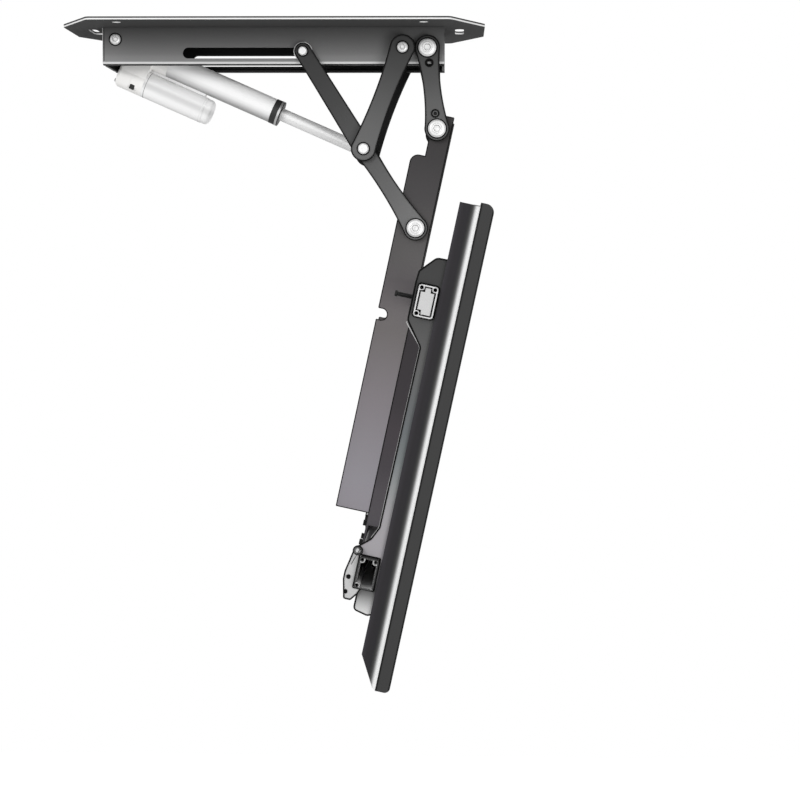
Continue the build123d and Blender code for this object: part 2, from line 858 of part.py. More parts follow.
# Spine: a U channel open towards the screen, with web tongues behind both cross tubes
spine_front_n = bracket_front_n + spine_depth
web_front_n = bracket_front_n + channel_wall
with BuildPart() as spine:
    with BuildSketch(bracket_plane(wall_outer)) as spine_side:
        with BuildLine():
            Polyline(
                (bracket_front_n, -spine_top_t),
                (spine_front_n - spine_corner, -spine_top_t),
                (spine_front_n, -spine_top_t - 2 * spine_corner),
                (spine_front_n, -spine_end_t),
                (bracket_front_n, -spine_end_t),
                close=True,
            )
        make_face()
        foot_corner = spine_side.vertices().sort_by_distance((spine_front_n, -spine_end_t))[0]
        fillet(foot_corner, spine_corner)
    extrude(amount=2 * wall_outer)
    with BuildSketch(bracket_plane(wall_outer)):
        middle_t = (spine_tongue_top_t + spine_tongue_end_t) / 2
        with Locations((bracket_front_n + channel_wall / 2, -middle_t)):
            Rectangle(channel_wall, spine_tongue_end_t - spine_tongue_top_t)
    extrude(amount=2 * wall_outer)
    with BuildSketch(bracket_plane(bracket_inner)):
        middle_t = (spine_top_t + spine_end_t) / 2
        with Locations((web_front_n + spine_depth, -middle_t)):
            Rectangle(2 * spine_depth, spine_end_t - spine_top_t + 2 * spine_corner)
    extrude(amount=2 * bracket_inner, mode=Mode.SUBTRACT)
    add(spine_bolt_shanks(), mode=Mode.SUBTRACT)


def tube_section(bosses):
    """Cross-tube section: thin rounded rectangle with round screw bosses in its corners."""
    with BuildSketch() as section:
        RectangleRounded(tube_depth, tube_height, tube_corner_radius)
        RectangleRounded(
            tube_depth - 2 * tube_wall, tube_height - 2 * tube_wall, tube_corner_radius - tube_wall,
            mode=Mode.SUBTRACT,
        )
        with Locations(*bosses):
            Circle(tube_boss_radius)
            Circle(tube_boss_bore_radius, mode=Mode.SUBTRACT)
    return section.sketch


boss_x = tube_depth / 2 - tube_boss_radius
boss_y = tube_height / 2 - tube_boss_radius
tube_bosses = ((-boss_x, boss_y), (boss_x, boss_y), (-boss_x, -boss_y))
with BuildPart() as upper_cross_tube:
    with BuildSketch(side_plane(bracket_point(*upper_tube), towards_screen, tube_half_length)):
        add(tube_section(tube_bosses))
    extrude(amount=2 * tube_half_length)
    add(spine_bolt_shanks(), mode=Mode.SUBTRACT)

with BuildPart() as lower_cross_tube:
    with BuildSketch(side_plane(bracket_point(*lower_tube), towards_screen, tube_half_length)):
        add(tube_section(tube_bosses))
    extrude(amount=2 * tube_half_length)
    add(spine_bolt_shanks(), mode=Mode.SUBTRACT)

# Saddles between the spine web and the tubes, with their bolts from behind
with BuildPart() as tube_saddles:
    for tube_n, tube_t in (upper_tube, lower_tube):
        back_n = tube_n - tube_depth / 2
        for y in (-saddle_y, saddle_y):
            with BuildSketch(bracket_plane(y + saddle_length / 2)):
                with Locations(((web_front_n + back_n) / 2, -tube_t)):
                    Rectangle(back_n - web_front_n, tube_height - 2 * tube_corner_radius)
            extrude(amount=saddle_length)
    add(spine_bolt_shanks(), mode=Mode.SUBTRACT)

with BuildPart() as spine_bolts:
    add(spine_bolt_shanks())
    for t in spine_bolt_t:
        for y in (-saddle_y, saddle_y):
            with BuildSketch(screen_plane(bracket_front_n, t, y)):
                RegularPolygon(radius=spine_bolt_head_radius, side_count=6)
    extrude(amount=-spine_bolt_head_height)

# TV rails: stepped channels that carry the screen, slotted for its screws
web_root_n = tv_rail_front_n - tv_rail_side_depth


def tv_rail(y_middle):
    """One stepped rail centred on y_middle."""
    with BuildPart() as rail:
        x, z = bracket_point(0, tv_rail_top_t)
        section_plane = Plane(
            origin=(x, y_middle, z),
            x_dir=(towards_screen[0], 0, towards_screen[1]),
            z_dir=(down[0], 0, down[1]),
        )
        with BuildSketch(section_plane) as rail_outline:
            with BuildLine():
                Polyline(
                    (tv_rail_back_n, -tv_rail_web_half_width),
                    (web_root_n, -tv_rail_web_half_width),
                    (web_root_n, -tv_rail_half_width),
                    (tv_rail_front_n, -tv_rail_half_width),
                    (tv_rail_front_n, tv_rail_half_width),
                    (web_root_n, tv_rail_half_width),
                    (web_root_n, tv_rail_web_half_width),
                    (tv_rail_back_n, tv_rail_web_half_width),
                    close=True,
                )
            make_face()
            for y in (-tv_rail_web_half_width, tv_rail_web_half_width):
                step_corner = rail_outline.vertices().sort_by_distance((web_root_n, y))[0]
                fillet(step_corner, tv_rail_bend_radius)
        extrude(amount=tv_rail_end_t - tv_rail_top_t)
        with BuildSketch(section_plane.offset(-cut_margin)) as rail_cavity:
            with BuildLine():
                Polyline(
                    (tv_rail_back_n - cut_margin, -tv_rail_web_half_width + tv_rail_wall),
                    (web_root_n + tv_rail_wall, -tv_rail_web_half_width + tv_rail_wall),
                    (web_root_n + tv_rail_wall, -tv_rail_half_width + tv_rail_wall),
                    (tv_rail_front_n - tv_rail_wall, -tv_rail_half_width + tv_rail_wall),
                    (tv_rail_front_n - tv_rail_wall, tv_rail_half_width - tv_rail_wall),
                    (web_root_n + tv_rail_wall, tv_rail_half_width - tv_rail_wall),
                    (web_root_n + tv_rail_wall, tv_rail_web_half_width - tv_rail_wall),
                    (tv_rail_back_n - cut_margin, tv_rail_web_half_width - tv_rail_wall),
                    close=True,
                )
            make_face()
            for y in (-tv_rail_web_half_width + tv_rail_wall, tv_rail_web_half_width - tv_rail_wall):
                cavity_corner = rail_cavity.vertices().sort_by_distance((web_root_n + tv_rail_wall, y))[0]
                fillet(cavity_corner, tv_rail_cavity_radius)
        extrude(amount=tv_rail_end_t - tv_rail_top_t + 2 * cut_margin, mode=Mode.SUBTRACT)
        with BuildSketch(bracket_plane(y_middle + tv_rail_half_width + cut_margin)) as rail_side:
            with BuildLine():
                Polyline(
                    (tv_rail_back_n, -tv_rail_top_t - tv_rail_web_drop),
                    (web_root_n, -tv_rail_top_t - tv_rail_web_drop),
                    (web_root_n, -tv_rail_top_t),
                    (tv_rail_front_n, -tv_rail_top_t),
                    (tv_rail_front_n, -tv_rail_end_t),
                    (web_root_n - tv_rail_foot_depth, -tv_rail_end_t),
                    (tv_rail_back_n, -tv_rail_end_t + tv_rail_foot_rise),
                    close=True,
                )
            make_face()
            front_corners = rail_side.vertices().sort_by_distance((tv_rail_front_n, -tv_rail_top_t))
            fillet(front_corners[0], tv_rail_top_radius)
            end_corners = rail_side.vertices().sort_by_distance((tv_rail_front_n, -tv_rail_end_t))
            fillet(end_corners[0], tv_rail_end_radius)
        extrude(amount=2 * (tv_rail_half_width + cut_margin), mode=Mode.INTERSECT)
        with BuildSketch(screen_plane(tv_rail_front_n, vesa_middle_t, y_middle)):
            with Locations((0, vesa_spacing / 2), (0, -vesa_spacing / 2)):
                Circle(vesa_hole_radius)
            with GridLocations(0, rail_slot_pitch, 1, 5):
                SlotOverall(rail_slot_length, rail_slot_width, rotation=90)
        extrude(amount=-tv_rail_wall, mode=Mode.SUBTRACT)
    return rail.part


with BuildPart() as left_tv_rail:
    add(tv_rail(-tv_rail_y))

with BuildPart() as right_tv_rail:
    mirror(left_tv_rail.part, about=Plane.XZ)

# Hook plates: closed hook over the upper tube, open seat over the lower tube
hook_outer_y = -tv_rail_y - tv_rail_web_half_width + tv_rail_wall
hook_inner_y = hook_outer_y + hook_thickness
hook_front_n = web_root_n
lower_top_t = lower_tube[1] - tube_height / 2 - hook_hole_gap
lower_end_t = lower_tube[1] + tube_height / 2 + hook_hole_gap
lower_front_n = lower_tube[0] + tube_depth / 2 + hook_hole_gap
with BuildPart() as left_hook_plate:
    with BuildSketch(bracket_plane(hook_inner_y)) as hook_outline:
        with BuildLine():
            Polyline(
                (hook_front_n, -hook_top_t),
                *[(n, -t) for n, t in hook_back_points],
                (hook_back_points[-1][0], -lower_top_t),
                (lower_front_n, -lower_top_t),
                (lower_front_n, -lower_end_t),
                (hook_toe_n, -lower_end_t),
                *[(n, -t) for n, t in hook_toe_points],
                (hook_front_n, -hook_toe_front_t),
                close=True,
            )
        make_face()
        for n, t in hook_bends:
            fillet(hook_outline.vertices().sort_by_distance((n, -t))[0], hook_bend_radius)
        for n, t in hook_toe_points:
            fillet(hook_outline.vertices().sort_by_distance((n, -t))[0], hook_toe_radius)
        with Locations((upper_tube[0], -upper_tube[1])):
            RectangleRounded(
                tube_depth + 2 * hook_hole_gap, tube_height + 2 * hook_hole_gap, tube_corner_radius,
                mode=Mode.SUBTRACT,
            )
        with Locations(*[(n, -t) for n, t in hook_rivet_points]):
            Circle(hook_rivet_radius, mode=Mode.SUBTRACT)
        with Locations((latch_pivot[0], -latch_pivot[1])):
            Circle(latch_pin_radius, mode=Mode.SUBTRACT)
    extrude(amount=hook_thickness)
    with BuildSketch(bracket_plane(hook_inner_y + hook_tab_width)):
        with Locations((lock_tab_n + hook_tab_thickness / 2, -lock_screw_t)):
            Rectangle(hook_tab_thickness, hook_tab_height)
    extrude(amount=hook_tab_width)
    with BuildSketch(screen_plane(lock_tab_n, lock_screw_t, hook_inner_y + hook_tab_width / 2)):
        Circle(lock_screw_radius + fit_clearance)
    extrude(amount=hook_tab_thickness, mode=Mode.SUBTRACT)

with BuildPart() as right_hook_plate:
    mirror(left_hook_plate.part, about=Plane.XZ)

# Lock screws: their tips stop just short of the upper tube
with BuildPart() as left_lock_screw:
    tip_n = upper_tube[0] - tube_depth / 2 - running_gap
    screw_plane = screen_plane(lock_screw_back_n, lock_screw_t, hook_inner_y + hook_tab_width / 2)
    with BuildSketch(screw_plane):
        Circle(lock_screw_radius)
    extrude(amount=tip_n - lock_screw_back_n)
    with BuildSketch(screw_plane):
        Circle(lock_knob_radius)
    extrude(amount=lock_knob_length)

with BuildPart() as right_lock_screw:
    mirror(left_lock_screw.part, about=Plane.XZ)

# Rivets that hold the hook plate in the rail, and the pin that the latch turns on
latch_inner_y = hook_outer_y - running_gap
latch_outer_y = latch_inner_y - latch_thickness
with BuildPart() as left_hook_rivets:
    for n, t in hook_rivet_points:
        add(
            turned(
                *bracket_point(n, t),
                (
                    (0, hook_inner_y + hook_rivet_head_height),
                    (hook_rivet_radius, hook_inner_y + hook_rivet_head_height),
                    (hook_rivet_radius + hook_rivet_flare, hook_inner_y),
                    (hook_rivet_radius, hook_inner_y),
                    (hook_rivet_radius, hook_outer_y),
                    (0, hook_outer_y),
                ),
            )
        )
    add(
        turned(
            *bracket_point(*latch_pivot),
            (
                (0, hook_inner_y),
                (latch_pin_radius, hook_inner_y),
                (latch_pin_radius, latch_outer_y - running_gap),
                (latch_pin_head_radius, latch_outer_y - running_gap),
                (latch_pin_radius, latch_outer_y - running_gap - latch_pin_head_height),
                (0, latch_outer_y - running_gap - latch_pin_head_height),
            ),
        )
    )

with BuildPart() as right_hook_rivets:
    mirror(left_hook_rivets.part, about=Plane.XZ)

# Latches: levers behind the lower tube, with a nose under it
latch_end_t = lower_tube[1] + latch_end_drop
pivot_n, pivot_t = latch_pivot
nose_t = lower_tube[1] + tube_height / 2 + running_gap
with BuildPart() as left_latch:
    with BuildSketch(bracket_plane(latch_inner_y)) as latch_outline:
        lever_front_n = lower_tube[0] - tube_depth / 2 - running_gap
        lever_back_n = lever_front_n - latch_width
        with BuildLine():
            Polyline(
                (lever_back_n + latch_lobe, -pivot_t),
                (lever_front_n, -pivot_t),
                (lever_front_n, -nose_t),
                (latch_nose_n, -nose_t),
                (latch_nose_n - latch_nose_slope, -nose_t - latch_nose_height),
                (lever_front_n, -latch_end_t),
                (lever_back_n + latch_lobe, -latch_end_t),
                (lever_back_n - latch_lobe, -nose_t + latch_thumb_rise),
                (lever_back_n - latch_lobe, -lower_tube[1] - latch_lobe),
                close=True,
            )
        make_face()
        lever_corners = latch_outline.vertices().sort_by(Axis.X)[:2]
        fillet(lever_corners, latch_back_radius)
        foot_corners = latch_outline.vertices().sort_by(Axis.Y)[:2]
        fillet(foot_corners, latch_corner_radius)
        with Locations((pivot_n, -pivot_t)):
            Circle(latch_eye_radius)
            Circle(latch_pin_radius + fit_clearance, mode=Mode.SUBTRACT)
        for drop in latch_spring_hole_drops:
            with Locations((lever_back_n + latch_lobe, -lower_tube[1] - drop)):
                Circle(latch_spring_hole_radius, mode=Mode.SUBTRACT)
    extrude(amount=latch_thickness)

with BuildPart() as right_latch:
    mirror(left_latch.part, about=Plane.XZ)

# Actuator frame: local x is s along the axis, local y is up across it
along = direction(actuator_pivot, middle_pivot)
across = (-along[1], along[0])


def actuator_point(s, v):
    """World (x, z) of an actuator point: s along the axis, v up across it."""
    x = actuator_pivot[0] + s * along[0] + v * across[0]
    z = actuator_pivot[1] + s * along[1] + v * across[1]
    return (x, z)


def axis_plane(s, v=0.0):
    """Plane across the actuator axis at s, with local x up and its normal towards the rod end."""
    x, z = actuator_point(s, v)
    return Plane(origin=(x, 0, z), x_dir=(across[0], 0, across[1]), z_dir=(along[0], 0, along[1]))


def round_bar(s_start, s_end, outer, inner=0.0, v=0.0):
    """Cylinder or tube along the actuator axis."""
    with BuildPart() as bar:
        with BuildSketch(axis_plane(s_start, v)):
            Circle(outer)
            if inner:
                Circle(inner, mode=Mode.SUBTRACT)
        extrude(amount=s_end - s_start)
    return bar.part


def gearbox_section(inset):
    """Gearbox outline round the screw axis and the motor axis, drawn in by the inset."""
    with BuildSketch() as section:
        with Locations((-motor_offset / 2, 0)):
            SlotCenterToCenter(motor_offset, 2 * (gearbox_radius - inset))
        with Locations((-motor_offset, 0)):
            Circle(motor_radius - inset)
    return section.sketch


with BuildPart() as gearbox_cover:
    with BuildSketch(axis_plane(gearbox_rear_s)):
        add(gearbox_section(0))
    extrude(amount=gearbox_split_s - gearbox_rear_s)
    rear_rim = gearbox_cover.faces().sort_by_distance(axis_plane(gearbox_rear_s).origin)[0].edges()
    fillet(rear_rim, gearbox_edge_radius)
    with BuildSketch(side_plane(actuator_pivot, along, eye_half_width)):
        Circle(rod_end_radius)
        with Locations(((gearbox_rear_s + gearbox_wall) / 2, 0)):
            Rectangle(gearbox_rear_s + gearbox_wall, 2 * rod_end_radius)
    extrude(amount=2 * eye_half_width)
    with BuildSketch(axis_plane(gearbox_split_s - gearbox_cover_recess)):
        add(gearbox_section(gearbox_wall))
    extrude(amount=gearbox_cover_recess, mode=Mode.SUBTRACT)
    with BuildSketch(side_plane(actuator_pivot, along, eye_half_width + cut_margin)):
        Circle(small_bolt_radius + fit_clearance)
    extrude(amount=2 * (eye_half_width + cut_margin), mode=Mode.SUBTRACT)

gland_plane = side_plane(actuator_point(gland_s, gland_v), along, -gland_seat_y)
with BuildPart() as gearbox_housing:
    with BuildSketch(axis_plane(gearbox_split_s)):
        add(gearbox_section(0))
    extrude(amount=gearbox_front_s - gearbox_split_s)
    with BuildSketch(axis_plane(gearbox_front_s)):
        Circle(gearbox_radius)
    extrude(amount=gearbox_neck_end_s - gearbox_front_s)
    with BuildSketch(axis_plane(gearbox_split_s)):
        add(gearbox_section(gearbox_wall))
    extrude(amount=gearbox_front_s - gearbox_split_s - gearbox_wall, mode=Mode.SUBTRACT)
    with BuildSketch(axis_plane(gearbox_split_s)):
        Circle(bearing_radius)
    extrude(amount=gearbox_neck_end_s - gearbox_split_s, mode=Mode.SUBTRACT)
    with BuildSketch(axis_plane(gearbox_split_s, -motor_offset)):
        Circle(motor_nose_bore_radius)
    extrude(amount=gearbox_front_s - gearbox_split_s, mode=Mode.SUBTRACT)
    with BuildSketch(gland_plane):
        RectangleRounded(gland_size, gland_size, gland_corner_radius)
    extrude(amount=motor_radius, mode=Mode.SUBTRACT)

with BuildPart() as cable_gland:
    with BuildSketch(gland_plane):
        RectangleRounded(gland_size, gland_size, gland_corner_radius)
    extrude(amount=gland_length)

with BuildPart() as motor_can:
    add(round_bar(gearbox_front_s, motor_end_s, motor_radius, v=-motor_offset))

with BuildPart() as motor_cap:
    cap_end_s = motor_end_s + motor_cap_length
    add(round_bar(motor_end_s, cap_end_s, motor_radius - motor_cap_inset, v=-motor_offset))
    cap_end_plane = axis_plane(motor_end_s + 2 * motor_cap_length, -motor_offset)
    cap_end = motor_cap.faces().sort_by_distance(cap_end_plane.origin)[0]
    fillet(cap_end.edges(), motor_cap_edge_radius)

with BuildPart() as outer_tube:
    add(round_bar(gearbox_neck_end_s, collar_start_s, outer_tube_radius, outer_tube_bore))

with BuildPart() as rod_collar:
    collar_end_s = collar_start_s + collar_length
    add(round_bar(collar_start_s, collar_end_s, collar_radius, rod_radius + fit_clearance))

with BuildPart() as screw_bearing:
    add(round_bar(bearing_s, bearing_s + bearing_length, bearing_radius, screw_radius))

with BuildPart() as lead_screw:
    add(round_bar(gear_start_s, screw_end_s, screw_radius))


def spur_gear(teeth, bore, v, turn):
    """Spur gear across the actuator axis. Its teeth are straight-sided."""
    pitch_radius = gear_module * teeth / 2
    root_radius = pitch_radius - gear_root_share * gear_module
    tooth_height = 2 * gear_module
    with BuildPart() as gear:
        with BuildSketch(axis_plane(gear_start_s, v)):
            Circle(root_radius)
            with PolarLocations(root_radius + tooth_height / 2 - gear_tooth_sink, teeth, start_angle=turn):
                Trapezoid(gear_tooth_width, tooth_height, gear_flank_angle, rotation=-90)
            Circle(bore, mode=Mode.SUBTRACT)
        extrude(amount=gear_width)
    return gear.part


idler_offset = gear_module * (gear_teeth + small_gear_teeth) / 2
with BuildPart() as reduction_gears:
    add(spur_gear(gear_teeth, screw_radius, 0, 0))
    add(spur_gear(small_gear_teeth, idler_pin_radius, -idler_offset, 180 / small_gear_teeth))
    add(spur_gear(small_gear_teeth, idler_pin_radius, -motor_offset, 0))
    add(round_bar(gear_start_s, gearbox_front_s - gearbox_wall, idler_pin_radius, v=-idler_offset))
    add(round_bar(gear_start_s, gearbox_front_s, idler_pin_radius, v=-motor_offset))

# Rod with its nut, end eye and pin
with BuildPart() as actuator_rod:
    rod_end_s = rod_length - rod_end_radius - rod_end_shank
    add(round_bar(rod_inner_s, rod_end_s, rod_radius))
    add(round_bar(rod_inner_s, rod_inner_s + rod_bore_length, rod_bore_radius), mode=Mode.SUBTRACT)

with BuildPart() as rod_nut:
    nut_start_s = rod_inner_s - rod_nut_length
    add(round_bar(nut_start_s, rod_inner_s, outer_tube_bore - running_gap, screw_radius + fit_clearance))

with BuildPart() as rod_end:
    with BuildSketch(side_plane(actuator_point(rod_length, 0), along, rod_end_half_width)):
        Circle(rod_end_radius)
    extrude(amount=2 * rod_end_half_width)
    add(round_bar(rod_end_s, rod_length, rod_radius))
    with BuildSketch(side_plane(actuator_point(rod_length, 0), along, rod_end_radius)):
        Circle(rod_pin_radius)
    extrude(amount=2 * rod_end_radius, mode=Mode.SUBTRACT)

with BuildPart() as rod_pin:
    pin_half = bracket_inner - 2 * running_gap
    add(
        turned(
            *actuator_point(rod_length, 0),
            (
                (0, -pin_half),
                (rod_pin_radius - bolt_end_chamfer, -pin_half),
                (rod_pin_radius, -pin_half + bolt_end_chamfer),
                (rod_pin_radius, pin_half - bolt_end_chamfer),
                (rod_pin_radius - bolt_end_chamfer, pin_half),
                (0, pin_half),
            ),
        )
    )

pieces = {
    "ceiling_plate": ceiling_plate,
    "left_rail": left_rail,
    "right_rail": right_rail,
    "end_plates": end_plates,
    "actuator_pivot_bolt": actuator_pivot_bolt,
    "channel_pivot_bolts": channel_pivot_bolts,
    "pivot_spacers": pivot_spacers,
    "channel_nuts": channel_nuts,
    "control_box": control_box,
    "control_box_cover": control_box_cover,
    "control_board": control_board,
    "power_inlet": power_inlet,
    "left_short_link": left_short_link,
    "right_short_link": right_short_link,
    "short_link_bushes": short_link_bushes,
    "middle_rivets": middle_rivets,
    "left_long_arm": left_long_arm,
    "right_long_arm": right_long_arm,
    "long_arm_bushes": long_arm_bushes,
    "slot_pins": slot_pins,
    "slot_rollers": slot_rollers,
    "left_rear_link": left_rear_link,
    "right_rear_link": right_rear_link,
    "rear_link_bushes": rear_link_bushes,
    "rear_tie_rod": rear_tie_rod,
    "tie_screws": tie_screws,
    "bracket_pivot_bolts": bracket_pivot_bolts,
    "left_side_plate": left_side_plate,
    "right_side_plate": right_side_plate,
    "arm_pivot_bolts": arm_pivot_bolts,
    "bracket_nuts": bracket_nuts,
    "spine": spine,
    "upper_cross_tube": upper_cross_tube,
    "lower_cross_tube": lower_cross_tube,
    "tube_saddles": tube_saddles,
    "spine_bolts": spine_bolts,
    "left_tv_rail": left_tv_rail,
    "right_tv_rail": right_tv_rail,
    "left_hook_plate": left_hook_plate,
    "right_hook_plate": right_hook_plate,
    "left_hook_rivets": left_hook_rivets,
    "right_hook_rivets": right_hook_rivets,
    "left_lock_screw": left_lock_screw,
    "right_lock_screw": right_lock_screw,
    "left_latch": left_latch,
    "right_latch": right_latch,
    "gearbox_housing": gearbox_housing,
    "gearbox_cover": gearbox_cover,
    "cable_gland": cable_gland,
    "motor_can": motor_can,
    "motor_cap": motor_cap,
    "outer_tube": outer_tube,
    "rod_collar": rod_collar,
    "screw_bearing": screw_bearing,
    "lead_screw": lead_screw,
    "reduction_gears": reduction_gears,
    "actuator_rod": actuator_rod,
    "rod_nut": rod_nut,
    "rod_end": rod_end,
    "rod_pin": rod_pin,
}
os.makedirs("parts", exist_ok=True)
for name, piece in pieces.items():
    piece.part.label = name
    export_step(piece.part, f"parts/{name}.step")
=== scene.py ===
"""Looks of the motorized TV ceiling mount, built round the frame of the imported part.

Frame points are in metres. Bracket coordinates (n, t, y) and actuator coordinates (s, v, y) are in millimetres.
"""

import math

import bmesh
import bpy
from mathutils import Matrix, Vector


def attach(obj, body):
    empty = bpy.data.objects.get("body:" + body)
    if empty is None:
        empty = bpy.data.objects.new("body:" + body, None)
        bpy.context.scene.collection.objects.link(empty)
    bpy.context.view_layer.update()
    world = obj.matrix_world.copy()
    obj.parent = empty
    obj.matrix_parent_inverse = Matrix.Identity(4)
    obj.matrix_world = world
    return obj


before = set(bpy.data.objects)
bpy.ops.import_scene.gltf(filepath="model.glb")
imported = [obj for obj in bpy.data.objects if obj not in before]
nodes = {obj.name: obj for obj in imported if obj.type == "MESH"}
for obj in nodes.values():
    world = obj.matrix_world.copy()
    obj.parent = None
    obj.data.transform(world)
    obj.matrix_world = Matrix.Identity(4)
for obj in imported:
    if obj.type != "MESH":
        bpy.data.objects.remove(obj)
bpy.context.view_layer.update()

scene = bpy.context.scene
scene.view_settings.view_transform = "Standard"

# Outward direction of each side
OUT = {"left": -1, "right": 1}

# Pivots (x, z) with the screen lowered
ACTUATOR_PIVOT = (-0.1581, -0.0149)
LINK_PIVOT = (0.1286, -0.0236)
REAR_PIVOT = (0.1532, -0.0236)
SLIDER_PIVOT = (0.0295, -0.0270)
MIDDLE_PIVOT = (0.0900, -0.1233)
ARM_PIVOT = (0.1420, -0.2018)
BRACKET_PIVOT = (0.1630, -0.1032)

# Directions of the bracket and of the actuator with the screen lowered
DOWN = Vector((-0.20831, 0.0, -0.97807))
SCREENWARD = Vector((0.97807, 0.0, -0.20831))
ROD_DIRECTION = Vector((0.91634, 0.0, -0.40037))
ROD_ACROSS = Vector((0.40037, 0.0, 0.91634))

# Outer faces, measured from the middle plane. The channel's walls and the bracket's side plates share one
WALL_FACE_Y = 0.0380
ARM_FACE_Y = 0.0420
LINK_FACE_Y = 0.0455
HOOK_FACE_Y = 0.2090
LATCH_FACE_Y = 0.2113
# Undersides of the bolt heads that keep a running gap
ARM_HEAD_Y = 0.0423
LINK_HEAD_Y = 0.0458

# Middles (n, t) of the cross tubes and the half sizes of their insides
UPPER_TUBE = (27.5, 166.5)
LOWER_TUBE = (27.0, 421.5)
TUBE_INSIDE = ((SCREENWARD, 0.0078), (DOWN, 0.0135))


def at(pivot, y=0.0):
    """Frame point of a pivot at the given y."""
    return Vector((pivot[0], y, pivot[1]))


def bracket_point(n, t, y):
    """Frame point that is n towards the screen, t down the bracket and y across."""
    return at(BRACKET_PIVOT) + SCREENWARD * n / 1000 + DOWN * t / 1000 + Vector((0, y / 1000, 0))


def rod_point(s, v, y):
    """Frame point that is s along the actuator, v above its axis and y across."""
    return at(ACTUATOR_PIVOT) + ROD_DIRECTION * s / 1000 + ROD_ACROSS * v / 1000 + Vector((0, y / 1000, 0))


def linear(value):
    """Linear grey level of an sRGB level from 0 to 255."""
    share = value / 255
    return share / 12.92 if share <= 0.04045 else ((share + 0.055) / 1.055) ** 2.4


def tone(value):
    """Grey colour of an sRGB level, or the colour of three levels."""
    levels = (value, value, value) if isinstance(value, (int, float)) else value
    return (*[linear(level) for level in levels], 1.0)


def flat(level):
    """Stops of one even tone."""
    return ((0.0, level), (1.0, level))


def number_math(tree, operation):
    """New node for an operation on numbers."""
    node = tree.nodes.new("ShaderNodeMath")
    node.operation = operation
    return node


def vector_math(tree, operation):
    """New node for an operation on vectors."""
    node = tree.nodes.new("ShaderNodeVectorMath")
    node.operation = operation
    return node


def colour_mix(tree, blend_type="MIX"):
    """New node that mixes two colours."""
    node = tree.nodes.new("ShaderNodeMix")
    node.data_type = "RGBA"
    node.blend_type = blend_type
    return node


def rounded_normal(tree, radius, samples):
    """Normal that is rounded within the radius of an edge."""
    node = tree.nodes.new("ShaderNodeBevel")
    node.samples = samples
    node.inputs["Radius"].default_value = radius
    return node.outputs["Normal"]


def new_material(name, roughness, metallic=0.0, clear=0.0):
    """Material with a shader whose uniform values are set on its own sockets."""
    material = bpy.data.materials.new(name)
    material.use_nodes = True
    shader = material.node_tree.nodes["Principled BSDF"]
    shader.inputs["Roughness"].default_value = roughness
    shader.inputs["Metallic"].default_value = metallic
    shader.inputs["Coat Weight"].default_value = clear
    return material, shader


GRAIN_DETAIL = 3.0
BEVEL_SAMPLES = 4


def add_grain(tree, shader, scale, strength, distance, bevel):
    """Fine surface grain, on softly rounded edges where there is a bevel."""
    coordinates = tree.nodes.new("ShaderNodeTexCoord")
    noise = tree.nodes.new("ShaderNodeTexNoise")
    noise.inputs["Scale"].default_value = scale
    noise.inputs["Detail"].default_value = GRAIN_DETAIL
    bump = tree.nodes.new("ShaderNodeBump")
    bump.inputs["Strength"].default_value = strength
    bump.inputs["Distance"].default_value = distance
    tree.links.new(coordinates.outputs["Object"], noise.inputs["Vector"])
    tree.links.new(noise.outputs["Fac"], bump.inputs["Height"])
    if bevel:
        tree.links.new(rounded_normal(tree, bevel, BEVEL_SAMPLES), bump.inputs["Normal"])
    tree.links.new(bump.outputs["Normal"], shader.inputs["Normal"])
    return coordinates.outputs["Object"], noise.outputs["Color"]


EDGE_SAMPLES = 6
EDGE_SHADE_LEVEL = 4
# Agreement of the rounded and the true normal at which the painted edge shade begins and is full
EDGE_START, EDGE_FULL = 0.999, 0.975


def paint_edge_shade(tree, colour, width, share):
    """Colour with painted shade: darker by the share within the width of an edge."""
    geometry = tree.nodes.new("ShaderNodeNewGeometry")
    turned = vector_math(tree, "DOT_PRODUCT")
    mask = tree.nodes.new("ShaderNodeMapRange")
    mask.inputs["From Min"].default_value = EDGE_START
    mask.inputs["From Max"].default_value = EDGE_FULL
    mask.inputs["To Max"].default_value = share
    mix = colour_mix(tree)
    mix.inputs["B"].default_value = tone(EDGE_SHADE_LEVEL)
    tree.links.new(rounded_normal(tree, width, EDGE_SAMPLES), turned.inputs[0])
    tree.links.new(geometry.outputs["Normal"], turned.inputs[1])
    tree.links.new(turned.outputs["Value"], mask.inputs["Value"])
    tree.links.new(mask.outputs["Result"], mix.inputs["Factor"])
    tree.links.new(colour, mix.inputs["A"])
    return mix.outputs["Result"]


def tone_inside(tree, colour, position, level, origin, limits):
    """Colour that takes the level where the position is within the limits (direction, half width) of the origin."""
    offset = vector_math(tree, "SUBTRACT")
    offset.inputs[1].default_value = origin
    tree.links.new(position, offset.inputs[0])
    inside = None
    for direction, half_width in limits:
        along = vector_math(tree, "DOT_PRODUCT")
        along.inputs[1].default_value = direction
        near = number_math(tree, "COMPARE")
        near.inputs[1].default_value = 0.0
        near.inputs[2].default_value = half_width
        tree.links.new(offset.outputs["Vector"], along.inputs[0])
        tree.links.new(along.outputs["Value"], near.inputs[0])
        if inside:
            both = number_math(tree, "MULTIPLY")
            tree.links.new(inside, both.inputs[0])
            tree.links.new(near.outputs["Value"], both.inputs[1])
            inside = both.outputs["Value"]
        else:
            inside = near.outputs["Value"]
    mix = colour_mix(tree)
    mix.inputs["B"].default_value = tone(level)
    tree.links.new(inside, mix.inputs["Factor"])
    tree.links.new(colour, mix.inputs["A"])
    return mix.outputs["Result"]


def shade_between_faces(level, half_width):
    """Level, origin and limits of a painted shade on the faces that lie within the half width of the middle plane.
    """
    return level, (0, 0, 0), (((0, 1, 0), half_width),)


